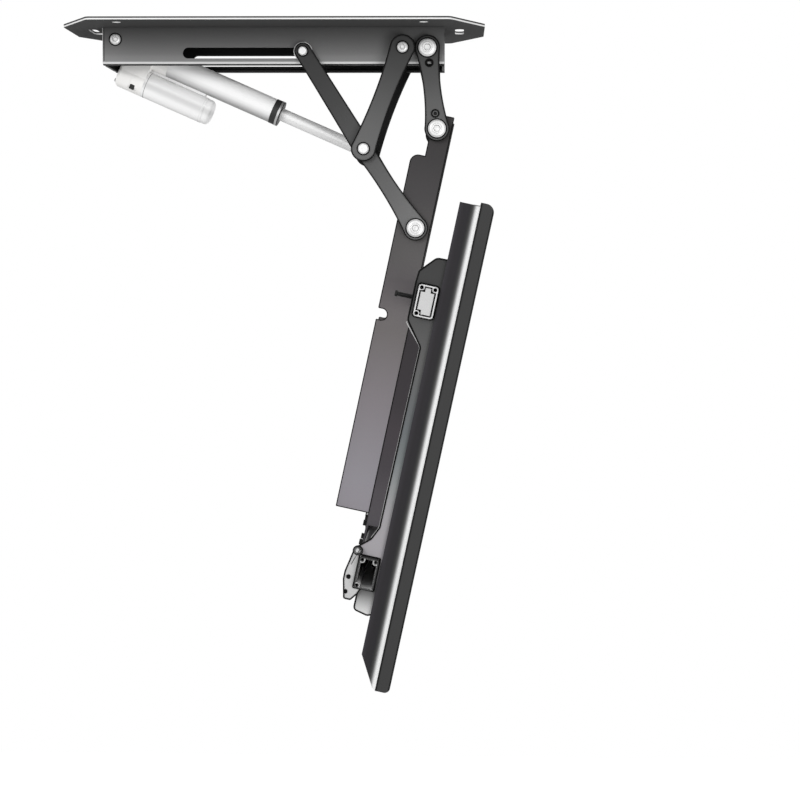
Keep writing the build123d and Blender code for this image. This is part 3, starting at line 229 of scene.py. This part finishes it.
def coat(
    name, stops, start=(0, 0, 0), end=(0, 0, -1), roughness=0.42, metallic=0.0, clear=0.0, specular=0.5,
    grain=(1400, 0.10, 0.0002), speckle=0.08, bevel=0.0005, both_sides=False, inner=None, edge_shade=0.0,
    edge_shade_share=0.85,
):
    """Painted or bare surface whose tone runs through the stops from start to end, with a fine speckle.

    With both_sides, left and right take the same tone. Inner is the level, origin and limits of another tone.
    """
    material, shader = new_material(name, roughness, metallic, clear)
    shader.inputs["Specular IOR Level"].default_value = specular
    tree = material.node_tree
    position, speckles = add_grain(tree, shader, *grain, bevel)
    start, end = Vector(start), Vector(end)
    axis = end - start
    offset = vector_math(tree, "SUBTRACT")
    offset.inputs[1].default_value = start
    along = vector_math(tree, "DOT_PRODUCT")
    along.inputs[1].default_value = axis / axis.length_squared
    ramp = tree.nodes.new("ShaderNodeValToRGB")
    for element, (place, level) in zip(ramp.color_ramp.elements, (stops[0], stops[-1])):
        element.position = place
        element.color = tone(level)
    for place, level in stops[1:-1]:
        ramp.color_ramp.elements.new(place).color = tone(level)
    mix = colour_mix(tree, "OVERLAY")
    mix.inputs["Factor"].default_value = speckle
    if both_sides:
        folded = vector_math(tree, "ABSOLUTE")
        tree.links.new(position, folded.inputs[0])
        tree.links.new(folded.outputs["Vector"], offset.inputs[0])
    else:
        tree.links.new(position, offset.inputs[0])
    tree.links.new(offset.outputs["Vector"], along.inputs[0])
    tree.links.new(along.outputs["Value"], ramp.inputs["Fac"])
    tree.links.new(ramp.outputs["Color"], mix.inputs["A"])
    tree.links.new(speckles, mix.inputs["B"])
    colour = mix.outputs["Result"]
    if inner:
        colour = tone_inside(tree, colour, position, *inner)
    # Painted shade along the edges
    if edge_shade:
        colour = paint_edge_shade(tree, colour, edge_shade, edge_shade_share)
    tree.links.new(colour, shader.inputs["Base Color"])
    return material


# Black steel sheet
BLACK = {"specular": 0.2, "roughness": 0.45}
# Links: painted shade along their edges
LINK = {"edge_shade": 0.0026, **BLACK}
PLATE_THICKNESS = 0.003
# Ceiling plate: a painted highlight along the lower half of its edge, and an underside painted lighter as painted
# light from below
plate_black = coat(
    "plate_black", ((0.0, 58), (0.4, 64), (0.58, 235), (0.95, 240), (0.975, 76), (1.0, 76)),
    (0, 0, 0), (0, 0, -PLATE_THICKNESS), bevel=0.0003, roughness=0.8, specular=0.05,
)
# Along the sum of |y| and |z|: painted shade on the walls, darker towards the top under the plate, and a painted
# highlight on the outside of the bend only. Painted shade on the faces inside the walls' outer faces
channel_black = coat(
    "channel_black",
    (
        (0.0, 78), (0.03, 82), (0.257, 92), (0.371, 97), (0.485, 103), (0.6, 109), (0.714, 116), (0.8, 126),
        (0.914, 132), (0.935, 140), (0.945, 215), (1.0, 215),
    ),
    (0, 0.0210, 0.0210), (0, 0.0385, 0.0385), both_sides=True, inner=shade_between_faces(14, 0.0365), **BLACK,
)
# Links and arms: painted light, darker at the top under the plate and lighter towards the bottom, and painted shade
# on the faces inside their outer faces
arm_black = coat(
    "arm_black", ((0.0, 52), (0.13, 55), (0.3, 64), (0.43, 75), (0.65, 93), (0.79, 102), (0.91, 110), (1.0, 112)),
    at(SLIDER_PIVOT), at(ARM_PIVOT), inner=shade_between_faces(8, 0.0418), **LINK,
)
link_black = coat(
    "link_black", ((0.0, 58), (0.2, 65), (0.5, 84), (0.78, 98), (1.0, 104)),
    at(LINK_PIVOT), at(MIDDLE_PIVOT), inner=shade_between_faces(8, 0.0453), **LINK,
)
rear_black = coat(
    "rear_black", ((0.0, 62), (0.4, 77), (0.67, 91), (1.0, 96)),
    at(REAR_PIVOT), at(BRACKET_PIVOT), inner=shade_between_faces(8, 0.0418), **LINK,
)
# Side plates: painted light, darker at the top and lighter towards the bottom, with painted shade along the edges
bracket_black = coat(
    "bracket_black",
    (
        (0.0, (54, 52, 52)), (0.07, (57, 55, 56)), (0.18, (69, 67, 68)), (0.23, (78, 76, 76)),
        (0.34, (92, 90, 90)), (0.41, (105, 101, 103)), (0.53, (109, 105, 105)), (0.71, (127, 122, 126)),
        (0.92, (142, 139, 145)), (1.0, (144, 140, 146)),
    ),
    bracket_point(0, 0, 0), bracket_point(0, 391, 0), edge_shade=0.0012, **BLACK,
)
# Spine: painted light, darker at the top and lighter towards the bottom, with painted shade along the edges
spine_black = coat(
    "spine_black",
    (
        (0.0, (50, 47, 50)), (0.36, (56, 52, 55)), (0.47, (64, 59, 63)), (0.62, (67, 63, 67)),
        (0.72, (77, 73, 77)), (1.0, (86, 84, 88)),
    ),
    bracket_point(20, 186, 0), bracket_point(20, 437, 0), edge_shade=0.0012, **BLACK,
)
# Hook plates: painted light, darker at the top and lighter towards the bottom, with a dark dip and then a light
# band at the lower end, and painted shade along the edges
hook_black = coat(
    "hook_black",
    (
        (0.0, 56), (0.07, 61), (0.31, 93), (0.48, (101, 105, 107)), (0.555, (112, 117, 118)),
        (0.645, (138, 140, 141)), (0.715, (152, 150, 153)), (0.82, (156, 153, 157)), (0.90, (160, 158, 161)),
        (0.93, 108), (0.945, 118), (0.985, 195), (1.0, 210),
    ),
    bracket_point(40, 125, 0), bracket_point(40, 460, 0), edge_shade=0.0018, **BLACK,
)
# Across the rail: a painted highlight on the hollow bend of the step, with painted shade in a black band beside it
# and a narrow one near the screen side
rail_black = coat(
    "rail_black",
    (
        (0.0, (48, 46, 50)), (0.15, (38, 36, 39)), (0.31, (38, 37, 40)), (0.36, 50), (0.40, 75), (0.43, 115),
        (0.46, 178), (0.49, 228), (0.52, 253), (0.55, 255), (0.587, 255), (0.590, 4), (0.628, 6), (0.645, 48),
        (0.66, 55), (0.945, 55), (0.955, 12), (0.992, 12), (0.998, 52),
    ),
    bracket_point(38.5, 0, 0), bracket_point(70.6, 0, 0), bevel=0.0003, **BLACK,
)


# Over |y|, from just inside the cross tubes' cut ends to just past them
TUBE_END_FROM, TUBE_END_TO = (0, 0.2143, 0), (0, 0.2153, 0)


def tube_coat(name, middle, end_level, inside_level):
    """Black tube with cut ends of another level, a bare inside and painted shade along its edges."""
    return coat(
        name, ((0.0, 34), (0.45, 34), (0.55, end_level), (1.0, end_level)), TUBE_END_FROM, TUBE_END_TO,
        both_sides=True, roughness=0.45, specular=0.25, bevel=0.0003, edge_shade=0.0010, edge_shade_share=0.95,
        inner=(inside_level, bracket_point(*middle, 0), TUBE_INSIDE),
    )


upper_tube_black = tube_coat("upper_tube_black", UPPER_TUBE, 222, 210)
lower_tube_black = tube_coat("lower_tube_black", LOWER_TUBE, 60, 190)

# Bolts, washers and other bare metal
METAL_GRAIN = (900, 0.05, 0.0001)
# Bolt heads: painted shade along their edges and in their sockets
bolt_zinc = coat(
    "bolt_zinc", flat(253), roughness=0.36, metallic=0.15, grain=METAL_GRAIN, bevel=0.0004, edge_shade=0.0009,
    edge_shade_share=0.75,
)
# Latches: painted shade along their edges
latch_steel = coat("latch_steel", flat(196), roughness=0.36, metallic=0.4, grain=METAL_GRAIN, edge_shade=0.0022)
washer_zinc = coat("washer_zinc", flat(205), roughness=0.34, metallic=0.7, grain=METAL_GRAIN, bevel=0.0003)
dark_steel = coat("dark_steel", flat(30), roughness=0.4, metallic=0.3, bevel=0.0003, specular=0.3)
rod_steel = coat(
    "rod_steel", flat(248), roughness=0.35, metallic=0.25, grain=(600, 0.03, 0.0001), bevel=0.0003,
)
bronze = coat("bronze", flat((150, 112, 66)), roughness=0.35, metallic=1.0)

# Silver paint of the actuator. Painted shade across its round parts: a grey band along the middle of the motor, and
# darker towards the underside of the outer tube
SILVER = {"roughness": 0.38, "grain": (1800, 0.04, 0.0001), "clear": 0.1}
silver_paint = coat("silver_paint", flat((253, 252, 250)), **SILVER)
motor_silver = coat(
    "motor_silver",
    (
        (0.0, 250), (0.05, 255), (0.35, 255), (0.42, 234), (0.46, 220), (0.50, 216), (0.56, 219), (0.61, 229),
        (0.65, 240), (0.70, 250), (0.78, 255), (0.95, 255), (1.0, 225),
    ),
    rod_point(0, -14.7, 0), rod_point(0, -41.3, 0), **SILVER,
)
tube_silver = coat(
    "tube_silver",
    ((0.0, 255), (0.62, 255), (0.74, 240), (0.82, 217), (0.90, 193), (0.94, 175), (0.98, 159), (1.0, 152)),
    rod_point(0, 12.5, 0), rod_point(0, -12.5, 0), **SILVER,
)

# Plastics, the plain tones of the small trim, and the tones of the painted shade and highlight lines
collar_grey = coat("collar_grey", flat(48), roughness=0.5, specular=0.3)
black_plastic = coat("black_plastic", flat(24), roughness=0.5, grain=(700, 0.1, 0.0002), specular=0.3)
white_nylon = coat("white_nylon", flat(228), roughness=0.45, bevel=0.0003)
board_green = coat("board_green", flat((24, 92, 52)), roughness=0.35, bevel=0.0003)
screw_black = coat("screw_black", flat(12), roughness=0.5, bevel=0.0002, specular=0.2)
# Black of the painted shade lines and rims, and of small dark trim
shade_and_trim_black = coat("shade_and_trim_black", flat(6), roughness=0.6, bevel=0.0002, specular=0.1)
pad_grey = coat("pad_grey", flat(238), roughness=0.7, bevel=0.0, specular=0.2)
# Grey of the painted highlight lines
highlight_grey = coat("highlight_grey", flat(178), roughness=0.5, bevel=0.0)
seam_grey = coat("seam_grey", flat(110), roughness=0.6, bevel=0.0002, specular=0.2)
plug_grey = coat("plug_grey", flat(199), roughness=0.6, bevel=0.0003, specular=0.2)

FINISHES = {
    plate_black: ("ceiling_plate",),
    channel_black: ("left_rail", "right_rail", "end_plates"),
    link_black: ("left_short_link", "right_short_link"),
    arm_black: ("left_long_arm", "right_long_arm"),
    rear_black: ("left_rear_link", "right_rear_link", "rear_tie_rod"),
    bracket_black: ("left_side_plate", "right_side_plate"),
    spine_black: ("spine", "tube_saddles"),
    hook_black: ("left_hook_plate", "right_hook_plate"),
    rail_black: ("left_tv_rail", "right_tv_rail"),
    upper_tube_black: ("upper_cross_tube",),
    lower_tube_black: ("lower_cross_tube",),
    bolt_zinc: (
        "actuator_pivot_bolt", "channel_pivot_bolts", "arm_pivot_bolts", "bracket_pivot_bolts", "middle_rivets",
        "slot_pins",
    ),
    washer_zinc: ("pivot_spacers", "channel_nuts", "bracket_nuts", "left_hook_rivets", "right_hook_rivets"),
    dark_steel: ("spine_bolts", "left_lock_screw", "right_lock_screw"),
    screw_black: ("tie_screws",),
    latch_steel: ("left_latch", "right_latch"),
    silver_paint: ("gearbox_housing", "gearbox_cover"),
    motor_silver: ("motor_can", "motor_cap"),
    tube_silver: ("outer_tube",),
    rod_steel: ("actuator_rod", "rod_end", "rod_pin", "lead_screw", "screw_bearing", "reduction_gears"),
    collar_grey: ("rod_collar",),
    black_plastic: ("control_box", "control_box_cover", "power_inlet", "cable_gland"),
    white_nylon: ("slot_rollers",),
    bronze: ("short_link_bushes", "long_arm_bushes", "rear_link_bushes", "rod_nut"),
    board_green: ("control_board",),
}
for material, names in FINISHES.items():
    for name in names:
        for material_slot in nodes[name].material_slots:
            material_slot.material = material


def new_piece(name, material, body, slot_name, mesh_maker, *values):
    """Mesh object that the maker shapes from the values, riding on a body."""
    mesh = bpy.data.meshes.new(name)
    shape = bmesh.new()
    mesh_maker(shape, *values)
    bmesh.ops.recalc_face_normals(shape, faces=shape.faces)
    shape.to_mesh(mesh)
    shape.free()
    piece = bpy.data.objects.new(name, mesh)
    scene.collection.objects.link(piece)
    mesh.materials.append(material)
    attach(piece, body)


def square_axes(axis):
    """The axis and two directions square to it, each of length one."""
    axis = Vector(axis).normalized()
    side = axis.orthogonal().normalized()
    return axis, side, axis.cross(side)


def spoke(side, other, k, count):
    """Direction that is k of count steps round from side towards other."""
    angle = 2 * math.pi * k / count
    return side * math.cos(angle) + other * math.sin(angle)


def skin(shape, rings):
    """Faces through the rings of vertices, closed at both ends."""
    sides = len(rings[0])
    for near, far in zip(rings, rings[1:]):
        for k in range(sides):
            shape.faces.new((near[k], near[(k + 1) % sides], far[(k + 1) % sides], far[k]))
    shape.faces.new(rings[0][::-1])
    shape.faces.new(rings[-1])


def collar(shape, centre, axis, inner, outer, height, sides=48):
    """Ring of rectangular section that stands on the centre point."""
    axis, side, other = square_axes(axis)
    profile = ((inner, 0.0), (outer, 0.0), (outer, height), (inner, height))
    loops = [
        [
            shape.verts.new(Vector(centre) + spoke(side, other, k, sides) * radius + axis * up)
            for radius, up in profile
        ]
        for k in range(sides)
    ]
    count = len(profile)
    for k in range(sides):
        near, far = loops[k], loops[(k + 1) % sides]
        for i in range(count):
            shape.faces.new((near[i], near[(i + 1) % count], far[(i + 1) % count], far[i]))


def disc(shape, centre, axis, radius, height, edge, sides=24):
    """Round head with a softened edge that stands on the centre point."""
    axis, side, other = square_axes(axis)
    steps = ((radius, 0.0), (radius, height - edge), (radius - edge, height))
    skin(shape, [
        [
            shape.verts.new(Vector(centre) + axis * up + reach * spoke(side, other, k, sides))
            for k in range(sides)
        ]
        for reach, up in steps
    ])


def coil(start, axis, radius, pitch, turns, steps):
    """Points of a helix about the axis, with so many steps to a turn."""
    axis, side, other = square_axes(axis)
    return [
        Vector(start) + axis * pitch * k / steps + radius * spoke(side, other, k, steps)
        for k in range(int(turns * steps) + 1)
    ]


def sweep(shape, points, radius, sides=6):
    """Round wire along the points."""
    rings = []
    for i, point in enumerate(points):
        ahead = (points[min(i + 1, len(points) - 1)] - points[max(i - 1, 0)]).normalized()
        side = ahead.orthogonal().normalized() if not rings else (side - ahead * side.dot(ahead)).normalized()
        other = ahead.cross(side)
        rings.append([shape.verts.new(point + radius * spoke(side, other, k, sides)) for k in range(sides)])
    skin(shape, rings)


# Dark lines of painted shade along the edges of the links and plates: piece, body, nodes, y of their outer faces,
# wire radius
OUTLINES = (
    ("arm_edges", "long_arms", ("left_long_arm", "right_long_arm"), ARM_FACE_Y, 0.0005),
    ("link_edges", "short_links", ("left_short_link", "right_short_link"), LINK_FACE_Y, 0.0006),
    ("rear_link_edges", "rear_links", ("left_rear_link", "right_rear_link"), ARM_FACE_Y, 0.0006),
    ("side_plate_edges", "tv_bracket", ("left_side_plate", "right_side_plate"), WALL_FACE_Y, 0.0005),
    ("left_hook_outline", "left_tv_mount", ("left_hook_plate",), HOOK_FACE_Y, 0.0008),
    ("right_hook_outline", "right_tv_mount", ("right_hook_plate",), HOOK_FACE_Y, 0.0008),
    ("left_latch_outline", "left_latch_lever", ("left_latch",), LATCH_FACE_Y, 0.0007),
    ("right_latch_outline", "right_latch_lever", ("right_latch",), LATCH_FACE_Y, 0.0007),
)
WELD_DISTANCE = 1e-6
FACE_TOLERANCE = 1e-5
SHARP_ANGLE = 0.6


def outlines(shape, names, face_y, radius):
    """Wires along every sharp edge of the nodes' flat outer faces."""
    for name in names:
        y = OUT[name.split("_")[0]] * face_y
        solid = bmesh.new()
        solid.from_mesh(nodes[name].data)
        bmesh.ops.remove_doubles(solid, verts=solid.verts, dist=WELD_DISTANCE)
        for edge in solid.edges:
            low, high = (vertex.co.copy() for vertex in edge.verts)
            on_face = abs(low.y - y) < FACE_TOLERANCE and abs(high.y - y) < FACE_TOLERANCE
            if on_face and len(edge.link_faces) == 2 and edge.calc_face_angle() > SHARP_ANGLE:
                sweep(shape, [low, high], radius)
        solid.free()


for name, body, names, face_y, radius in OUTLINES:
    new_piece(name, shade_and_trim_black, body, "black_steel", outlines, names, face_y, radius)

# Painted shade as dark rims round the bolt and rivet heads, on the bodies of the bolts: pivot, y, radius of the
# head
RIMS = (
    ("channel_bolt_rims", "ceiling_frame", (
        (ACTUATOR_PIVOT, WALL_FACE_Y, 0.0053), (LINK_PIVOT, LINK_HEAD_Y, 0.0053), (REAR_PIVOT, ARM_HEAD_Y, 0.0088),
    )),
    ("rivet_rims", "short_links", ((MIDDLE_PIVOT, LINK_FACE_Y, 0.0054),)),
    ("slot_pin_rims", "long_arms", ((SLIDER_PIVOT, ARM_FACE_Y, 0.0044),)),
    ("foot_bolt_rims", "rear_links", ((BRACKET_PIVOT, ARM_FACE_Y, 0.0088),)),
    ("arm_bolt_rims", "tv_bracket", ((ARM_PIVOT, ARM_HEAD_Y, 0.0088),)),
)
RIM_GAP = 0.00005
RIM_WIDTH = 0.0012
RIM_HEIGHT = 0.0005
RIM_SIDES = 40


def bolt_rims(shape, places):
    for pivot, y, radius in places:
        for sign in OUT.values():
            collar(
                shape, at(pivot, sign * y), (0, sign, 0), radius + RIM_GAP, radius + RIM_WIDTH, RIM_HEIGHT,
                RIM_SIDES,
            )


for name, body, places in RIMS:
    new_piece(name, shade_and_trim_black, body, "dark_bolt", bolt_rims, places)

# Threads of the lock screws
THREAD_T, THREAD_Y = 165.0, 205.0
THREAD_START_N, THREAD_END_N = 1.2, 17.0
THREAD_RADIUS, THREAD_PITCH, THREAD_STEPS, THREAD_WIRE = 0.0019, 0.0012, 14, 0.00038


def lock_thread(shape, sign):
    start = bracket_point(THREAD_START_N, THREAD_T, sign * THREAD_Y)
    turns = (THREAD_END_N - THREAD_START_N) / 1000 / THREAD_PITCH
    sweep(shape, coil(start, SCREENWARD, THREAD_RADIUS, THREAD_PITCH, turns, THREAD_STEPS), THREAD_WIRE)


for side, sign in OUT.items():
    new_piece(side + "_lock_thread", dark_steel, side + "_lock", "dark_bolt", lock_thread, sign)

# Painted highlight as a light line on the back edge of each hook plate, through points (n, t)
EDGE_POINTS = (
    (14.2, 187.9), (15.4, 189.9), (30.0, 206.9), (31.0, 209.2), (29.5, 377.0), (28.9, 379.4), (24.4, 388.8),
)
EDGE_Y = 208.4
EDGE_WIRE = 0.0006


def hook_edge_highlight(shape, sign):
    sweep(shape, [bracket_point(n, t, sign * EDGE_Y) for n, t in EDGE_POINTS], EDGE_WIRE)


for side, sign in OUT.items():
    new_piece(side + "_hook_edge_highlight", highlight_grey, side + "_tv_mount", "black_steel", hook_edge_highlight, sign)

# Lines on the channel's walls: a painted highlight on the cut edge and a dark seam at the back end, a dark line of
# painted shade under the bend
WALL_TOP_Z, WALL_LOW_Z, WALL_FOOT_Z = -0.0035, -0.0360, -0.0398
WALL_FOOT_Y = 0.0354
WALL_BACK_X, WALL_FRONT_X = -0.1710, 0.1700
WALL_EDGE_X, WALL_SEAM_X = -0.1707, -0.1697
WALL_LINES = (
    ("wall_end_edges", highlight_grey, WALL_FACE_Y, (WALL_EDGE_X, WALL_TOP_Z), (WALL_EDGE_X, WALL_LOW_Z), 0.0004),
    ("wall_end_seams", shade_and_trim_black, WALL_FACE_Y, (WALL_SEAM_X, WALL_TOP_Z), (WALL_SEAM_X, WALL_LOW_Z), 0.0004),
    ("wall_foot_lines", shade_and_trim_black, WALL_FOOT_Y, (WALL_BACK_X, WALL_FOOT_Z), (WALL_FRONT_X, WALL_FOOT_Z), 0.0005),
)


def wall_lines(shape, y, start, end, radius):
    for sign in OUT.values():
        sweep(shape, [at(start, sign * y), at(end, sign * y)], radius)


for name, material, *values in WALL_LINES:
    new_piece(name, material, "ceiling_frame", "black_steel", wall_lines, *values)

# Grey line on the top end of each rail, along its bend
RAIL_LINE_T = 72.2
RAIL_LINE_WIRE = 0.0004
RAIL_BEND_N, RAIL_BEND_Y, RAIL_BEND_RADIUS = 51.3, 217.0, 6.0
RAIL_BEND_STEPS, RAIL_BEND_STEP_DEGREES = 6, 15


def rail_line(shape, sign):
    angles = [math.radians(RAIL_BEND_STEP_DEGREES * k) for k in range(RAIL_BEND_STEPS + 1)]
    sweep(shape, [
        bracket_point(
            RAIL_BEND_N + RAIL_BEND_RADIUS * math.sin(angle), RAIL_LINE_T,
            sign * (RAIL_BEND_Y - RAIL_BEND_RADIUS * math.cos(angle)),
        )
        for angle in angles
    ], RAIL_LINE_WIRE)


for side, sign in OUT.items():
    new_piece(side + "_rail_line", seam_grey, side + "_tv_mount", "black_steel", rail_line, sign)

# Rings in the heads of the tie screws
TIE_SCREW = (0.1612, -0.0883)
TIE_RING_RADIUS, TIE_RING_STEPS, TIE_RING_WIRE = 0.0023, 20, 0.0004


def tie_screw_rings(shape):
    across, up = Vector((1, 0, 0)), Vector((0, 0, 1))
    for sign in OUT.values():
        middle = at(TIE_SCREW, sign * ARM_FACE_Y)
        sweep(shape, [
            middle + spoke(across, up, k, TIE_RING_STEPS) * TIE_RING_RADIUS for k in range(TIE_RING_STEPS + 1)
        ], TIE_RING_WIRE)


new_piece("tie_screw_rings", seam_grey, "rear_links", "dark_bolt", tie_screw_rings)

# Plugs in the upper tube's open ends, notched round the screw bosses: a dark rim and a pale face.
# Half sizes along n and t, the same at the notches, and y from and to
PLUG_PARTS = (
    ("upper_plug_rims", shade_and_trim_black, 7.3, 13.0, 3.0, 8.7, 211.0, 213.0),
    ("upper_plug_faces", plug_grey, 6.2, 12.2, 2.6, 8.2, 213.0, 213.8),
)


def tube_plugs(shape, half_n, half_t, notch_n, notch_t, low_y, high_y):
    outline = (
        (-half_n, notch_t), (-notch_n, notch_t), (-notch_n, half_t), (half_n, half_t), (half_n, -notch_t),
        (notch_n, -notch_t), (notch_n, -half_t), (-notch_n, -half_t), (-notch_n, -notch_t), (-half_n, -notch_t),
    )
    middle_n, middle_t = UPPER_TUBE
    for sign in OUT.values():
        skin(shape, [
            [shape.verts.new(bracket_point(middle_n + n, middle_t + t, sign * y)) for n, t in outline]
            for y in (low_y, high_y)
        ])


for name, material, *values in PLUG_PARTS:
    new_piece(name, material, "tv_bracket", "black_plastic", tube_plugs, *values)

# Springs on the latch pins: start and end (n, t, y)
SPRING_START = (15.0, 402.5, 211.9)
SPRING_END = (11.5, 416.0, 213.6)
SPRING_RADIUS, SPRING_PITCH, SPRING_TURNS, SPRING_STEPS, SPRING_WIRE = 0.0039, 0.00072, 2.5, 16, 0.00034


def latch_spring(shape, sign):
    start, end = (bracket_point(n, t, sign * y) for n, t, y in (SPRING_START, SPRING_END))
    turns = coil(start, (0, sign, 0), SPRING_RADIUS, SPRING_PITCH, SPRING_TURNS, SPRING_STEPS)
    sweep(shape, [*turns, end], SPRING_WIRE)


for side, sign in OUT.items():
    new_piece(side + "_latch_spring", dark_steel, side + "_latch_lever", "bolt_steel", latch_spring, sign)

# Small heads: radius, height and softened edge
LATCH_RIVET = (0.0019, 0.0007, 0.0003)
COVER_SCREW = (0.0026, 0.0014, 0.0005)
GEARBOX_SCREW = (0.0017, 0.0012, 0.0004)

# Rivets in the spring holes of the latches, at (n, t)
LATCH_RIVETS = ((11.45, 428.0), (11.45, 442.0))
LATCH_RIVET_Y = 211.3


def latch_rivets(shape, sign):
    for n, t in LATCH_RIVETS:
        disc(shape, bracket_point(n, t, sign * LATCH_RIVET_Y), (0, sign, 0), *LATCH_RIVET)


for side, sign in OUT.items():
    new_piece(side + "_latch_rivets", shade_and_trim_black, side + "_latch_lever", "dark_bolt", latch_rivets, sign)

# Screws of the control box cover
COVER_SCREWS_X = (0.053, 0.103)
COVER_SCREWS_Y = (-0.022, 0.022)
COVER_FACE_Z = -0.0306


def cover_screws(shape):
    for x in COVER_SCREWS_X:
        for y in COVER_SCREWS_Y:
            disc(shape, (x, y, COVER_FACE_Z), (0, 0, -1), *COVER_SCREW)


new_piece("cover_screws", bolt_zinc, "ceiling_frame", "bolt_steel", cover_screws)

# Screws of the gearbox cover, at (v, y)
GEARBOX_SCREWS = ((-36.0, -5.0), (-36.0, 5.0), (-14.0, -8.6), (-14.0, 8.6))
GEARBOX_FACE_S = 9.0


def gearbox_screws(shape):
    for v, y in GEARBOX_SCREWS:
        disc(shape, rod_point(GEARBOX_FACE_S, v, y), -ROD_DIRECTION, *GEARBOX_SCREW)


new_piece("gearbox_screws", bolt_zinc, "actuator_body", "bolt_steel", gearbox_screws)

# Seams at both ends of the motor can: piece, material, s. The ring is its inner and outer radius and its height
MOTOR_V = -28.0
MOTOR_SEAMS = (("motor_seam", seam_grey, 40.5), ("cap_seam", pad_grey, 101.5))
SEAM_RING = (0.01295, 0.01335, 0.0004)


def actuator_ring(shape, s, v, ring):
    collar(shape, rod_point(s, v, 0), ROD_DIRECTION, *ring)


for name, material, s in MOTOR_SEAMS:
    new_piece(name, material, "actuator_body", "collar_grey", actuator_ring, s, MOTOR_V, SEAM_RING)

# Pad between the motor and the tube: its ends along s, v and y
PAD_S, PAD_V, PAD_Y = (41.0, 99.0), (-14.9, -12.3), (-3.5, 3.5)


def motor_pad(shape):
    corners = [shape.verts.new(rod_point(s, v, y)) for s in PAD_S for v in PAD_V for y in PAD_Y]
    bmesh.ops.convex_hull(shape, input=corners)


new_piece("motor_pad", pad_grey, "actuator_body", "collar_grey", motor_pad)

# Light band of the rod collar
BAND_S = 174.0
BAND_RING = (0.0126, 0.01305, 0.0022)
new_piece("collar_band", washer_zinc, "actuator_body", "rod_steel", actuator_ring, BAND_S, 0, BAND_RING)

# World: white to the camera and in reflections, dimmer as a light on the object
AMBIENT_STRENGTH = 0.55
SEEN_STRENGTH = 1.0
world = bpy.data.worlds.new("studio")
scene.world = world
world.use_nodes = True
tree = world.node_tree
background = tree.nodes["Background"]
background.inputs["Color"].default_value = (1, 1, 1, 1)
paths = tree.nodes.new("ShaderNodeLightPath")
seen = number_math(tree, "MAXIMUM")
seen_clear = number_math(tree, "MAXIMUM")
strength = tree.nodes.new("ShaderNodeMapRange")
strength.inputs["To Min"].default_value = AMBIENT_STRENGTH
strength.inputs["To Max"].default_value = SEEN_STRENGTH
tree.links.new(paths.outputs["Is Camera Ray"], seen.inputs[0])
tree.links.new(paths.outputs["Is Glossy Ray"], seen.inputs[1])
tree.links.new(seen.outputs["Value"], seen_clear.inputs[0])
tree.links.new(paths.outputs["Is Transmission Ray"], seen_clear.inputs[1])
tree.links.new(seen_clear.outputs["Value"], strength.inputs["Value"])
tree.links.new(strength.outputs["Result"], background.inputs["Strength"])

# Floor far below the hanging part, white to the camera
FLOOR_HALF_WIDTH = 6
FLOOR_Z = -2.4
FLOOR_GLOW = 0.6
floor_material, floor_shader = new_material("floor_white", 0.9)
floor_shader.inputs["Base Color"].default_value = (0.8, 0.8, 0.8, 1)
floor_shader.inputs["Emission Color"].default_value = (1, 1, 1, 1)
floor_tree = floor_material.node_tree
floor_paths = floor_tree.nodes.new("ShaderNodeLightPath")
floor_glow = number_math(floor_tree, "MULTIPLY")
floor_glow.inputs[1].default_value = FLOOR_GLOW
floor_tree.links.new(floor_paths.outputs["Is Camera Ray"], floor_glow.inputs[0])
floor_tree.links.new(floor_glow.outputs["Value"], floor_shader.inputs["Emission Strength"])
floor_mesh = bpy.data.meshes.new("floor")
floor_corners = [
    (x * FLOOR_HALF_WIDTH, y * FLOOR_HALF_WIDTH, FLOOR_Z) for x, y in ((-1, -1), (1, -1), (1, 1), (-1, 1))
]
floor_mesh.from_pydata(floor_corners, [], [(0, 1, 2, 3)])
floor_mesh.materials.append(floor_material)
floor = bpy.data.objects.new("floor", floor_mesh)
scene.collection.objects.link(floor)

# Two soft square lamps that look at the middle of the part: name, place, power
LAMP_TARGET = (0.05, 0, -0.25)
LAMP_WIDTH = 1.2
LAMPS = (("key", (-1.2, -1.8, 0.6), 22), ("fill", (1.4, -1.4, -0.9), 17))
for name, place, power in LAMPS:
    light = bpy.data.lights.new(name, "AREA")
    light.size = LAMP_WIDTH
    light.energy = power
    lamp = bpy.data.objects.new(name, light)
    lamp.location = place
    lamp.rotation_mode = "QUATERNION"
    lamp.rotation_quaternion = (Vector(LAMP_TARGET) - Vector(place)).to_track_quat("-Z", "Y")
    scene.collection.objects.link(lamp)

# Camera: fitted to the pivots, the plate and the rails in the photograph
CAMERA_PLACE = (0.18, -1.85, -0.24113)
CAMERA_TURN, CAMERA_PITCH, CAMERA_ROLL = 0.02928, -0.07322, -0.00284
SENSOR_WIDTH, FOCAL_LENGTH = 36, 81.2
camera = bpy.data.objects.new("camera", bpy.data.cameras.new("camera"))
scene.collection.objects.link(camera)
camera.data.sensor_width = SENSOR_WIDTH
camera.data.lens = FOCAL_LENGTH
aim = (
    Matrix.Rotation(CAMERA_TURN, 3, "Z") @ Matrix.Rotation(CAMERA_PITCH, 3, "X")
    @ Matrix.Rotation(CAMERA_ROLL, 3, "Y")
)
camera.rotation_mode = "QUATERNION"
camera.rotation_quaternion = (aim @ Matrix.Rotation(math.pi / 2, 3, "X")).to_quaternion()
camera.location = CAMERA_PLACE
scene.camera = camera
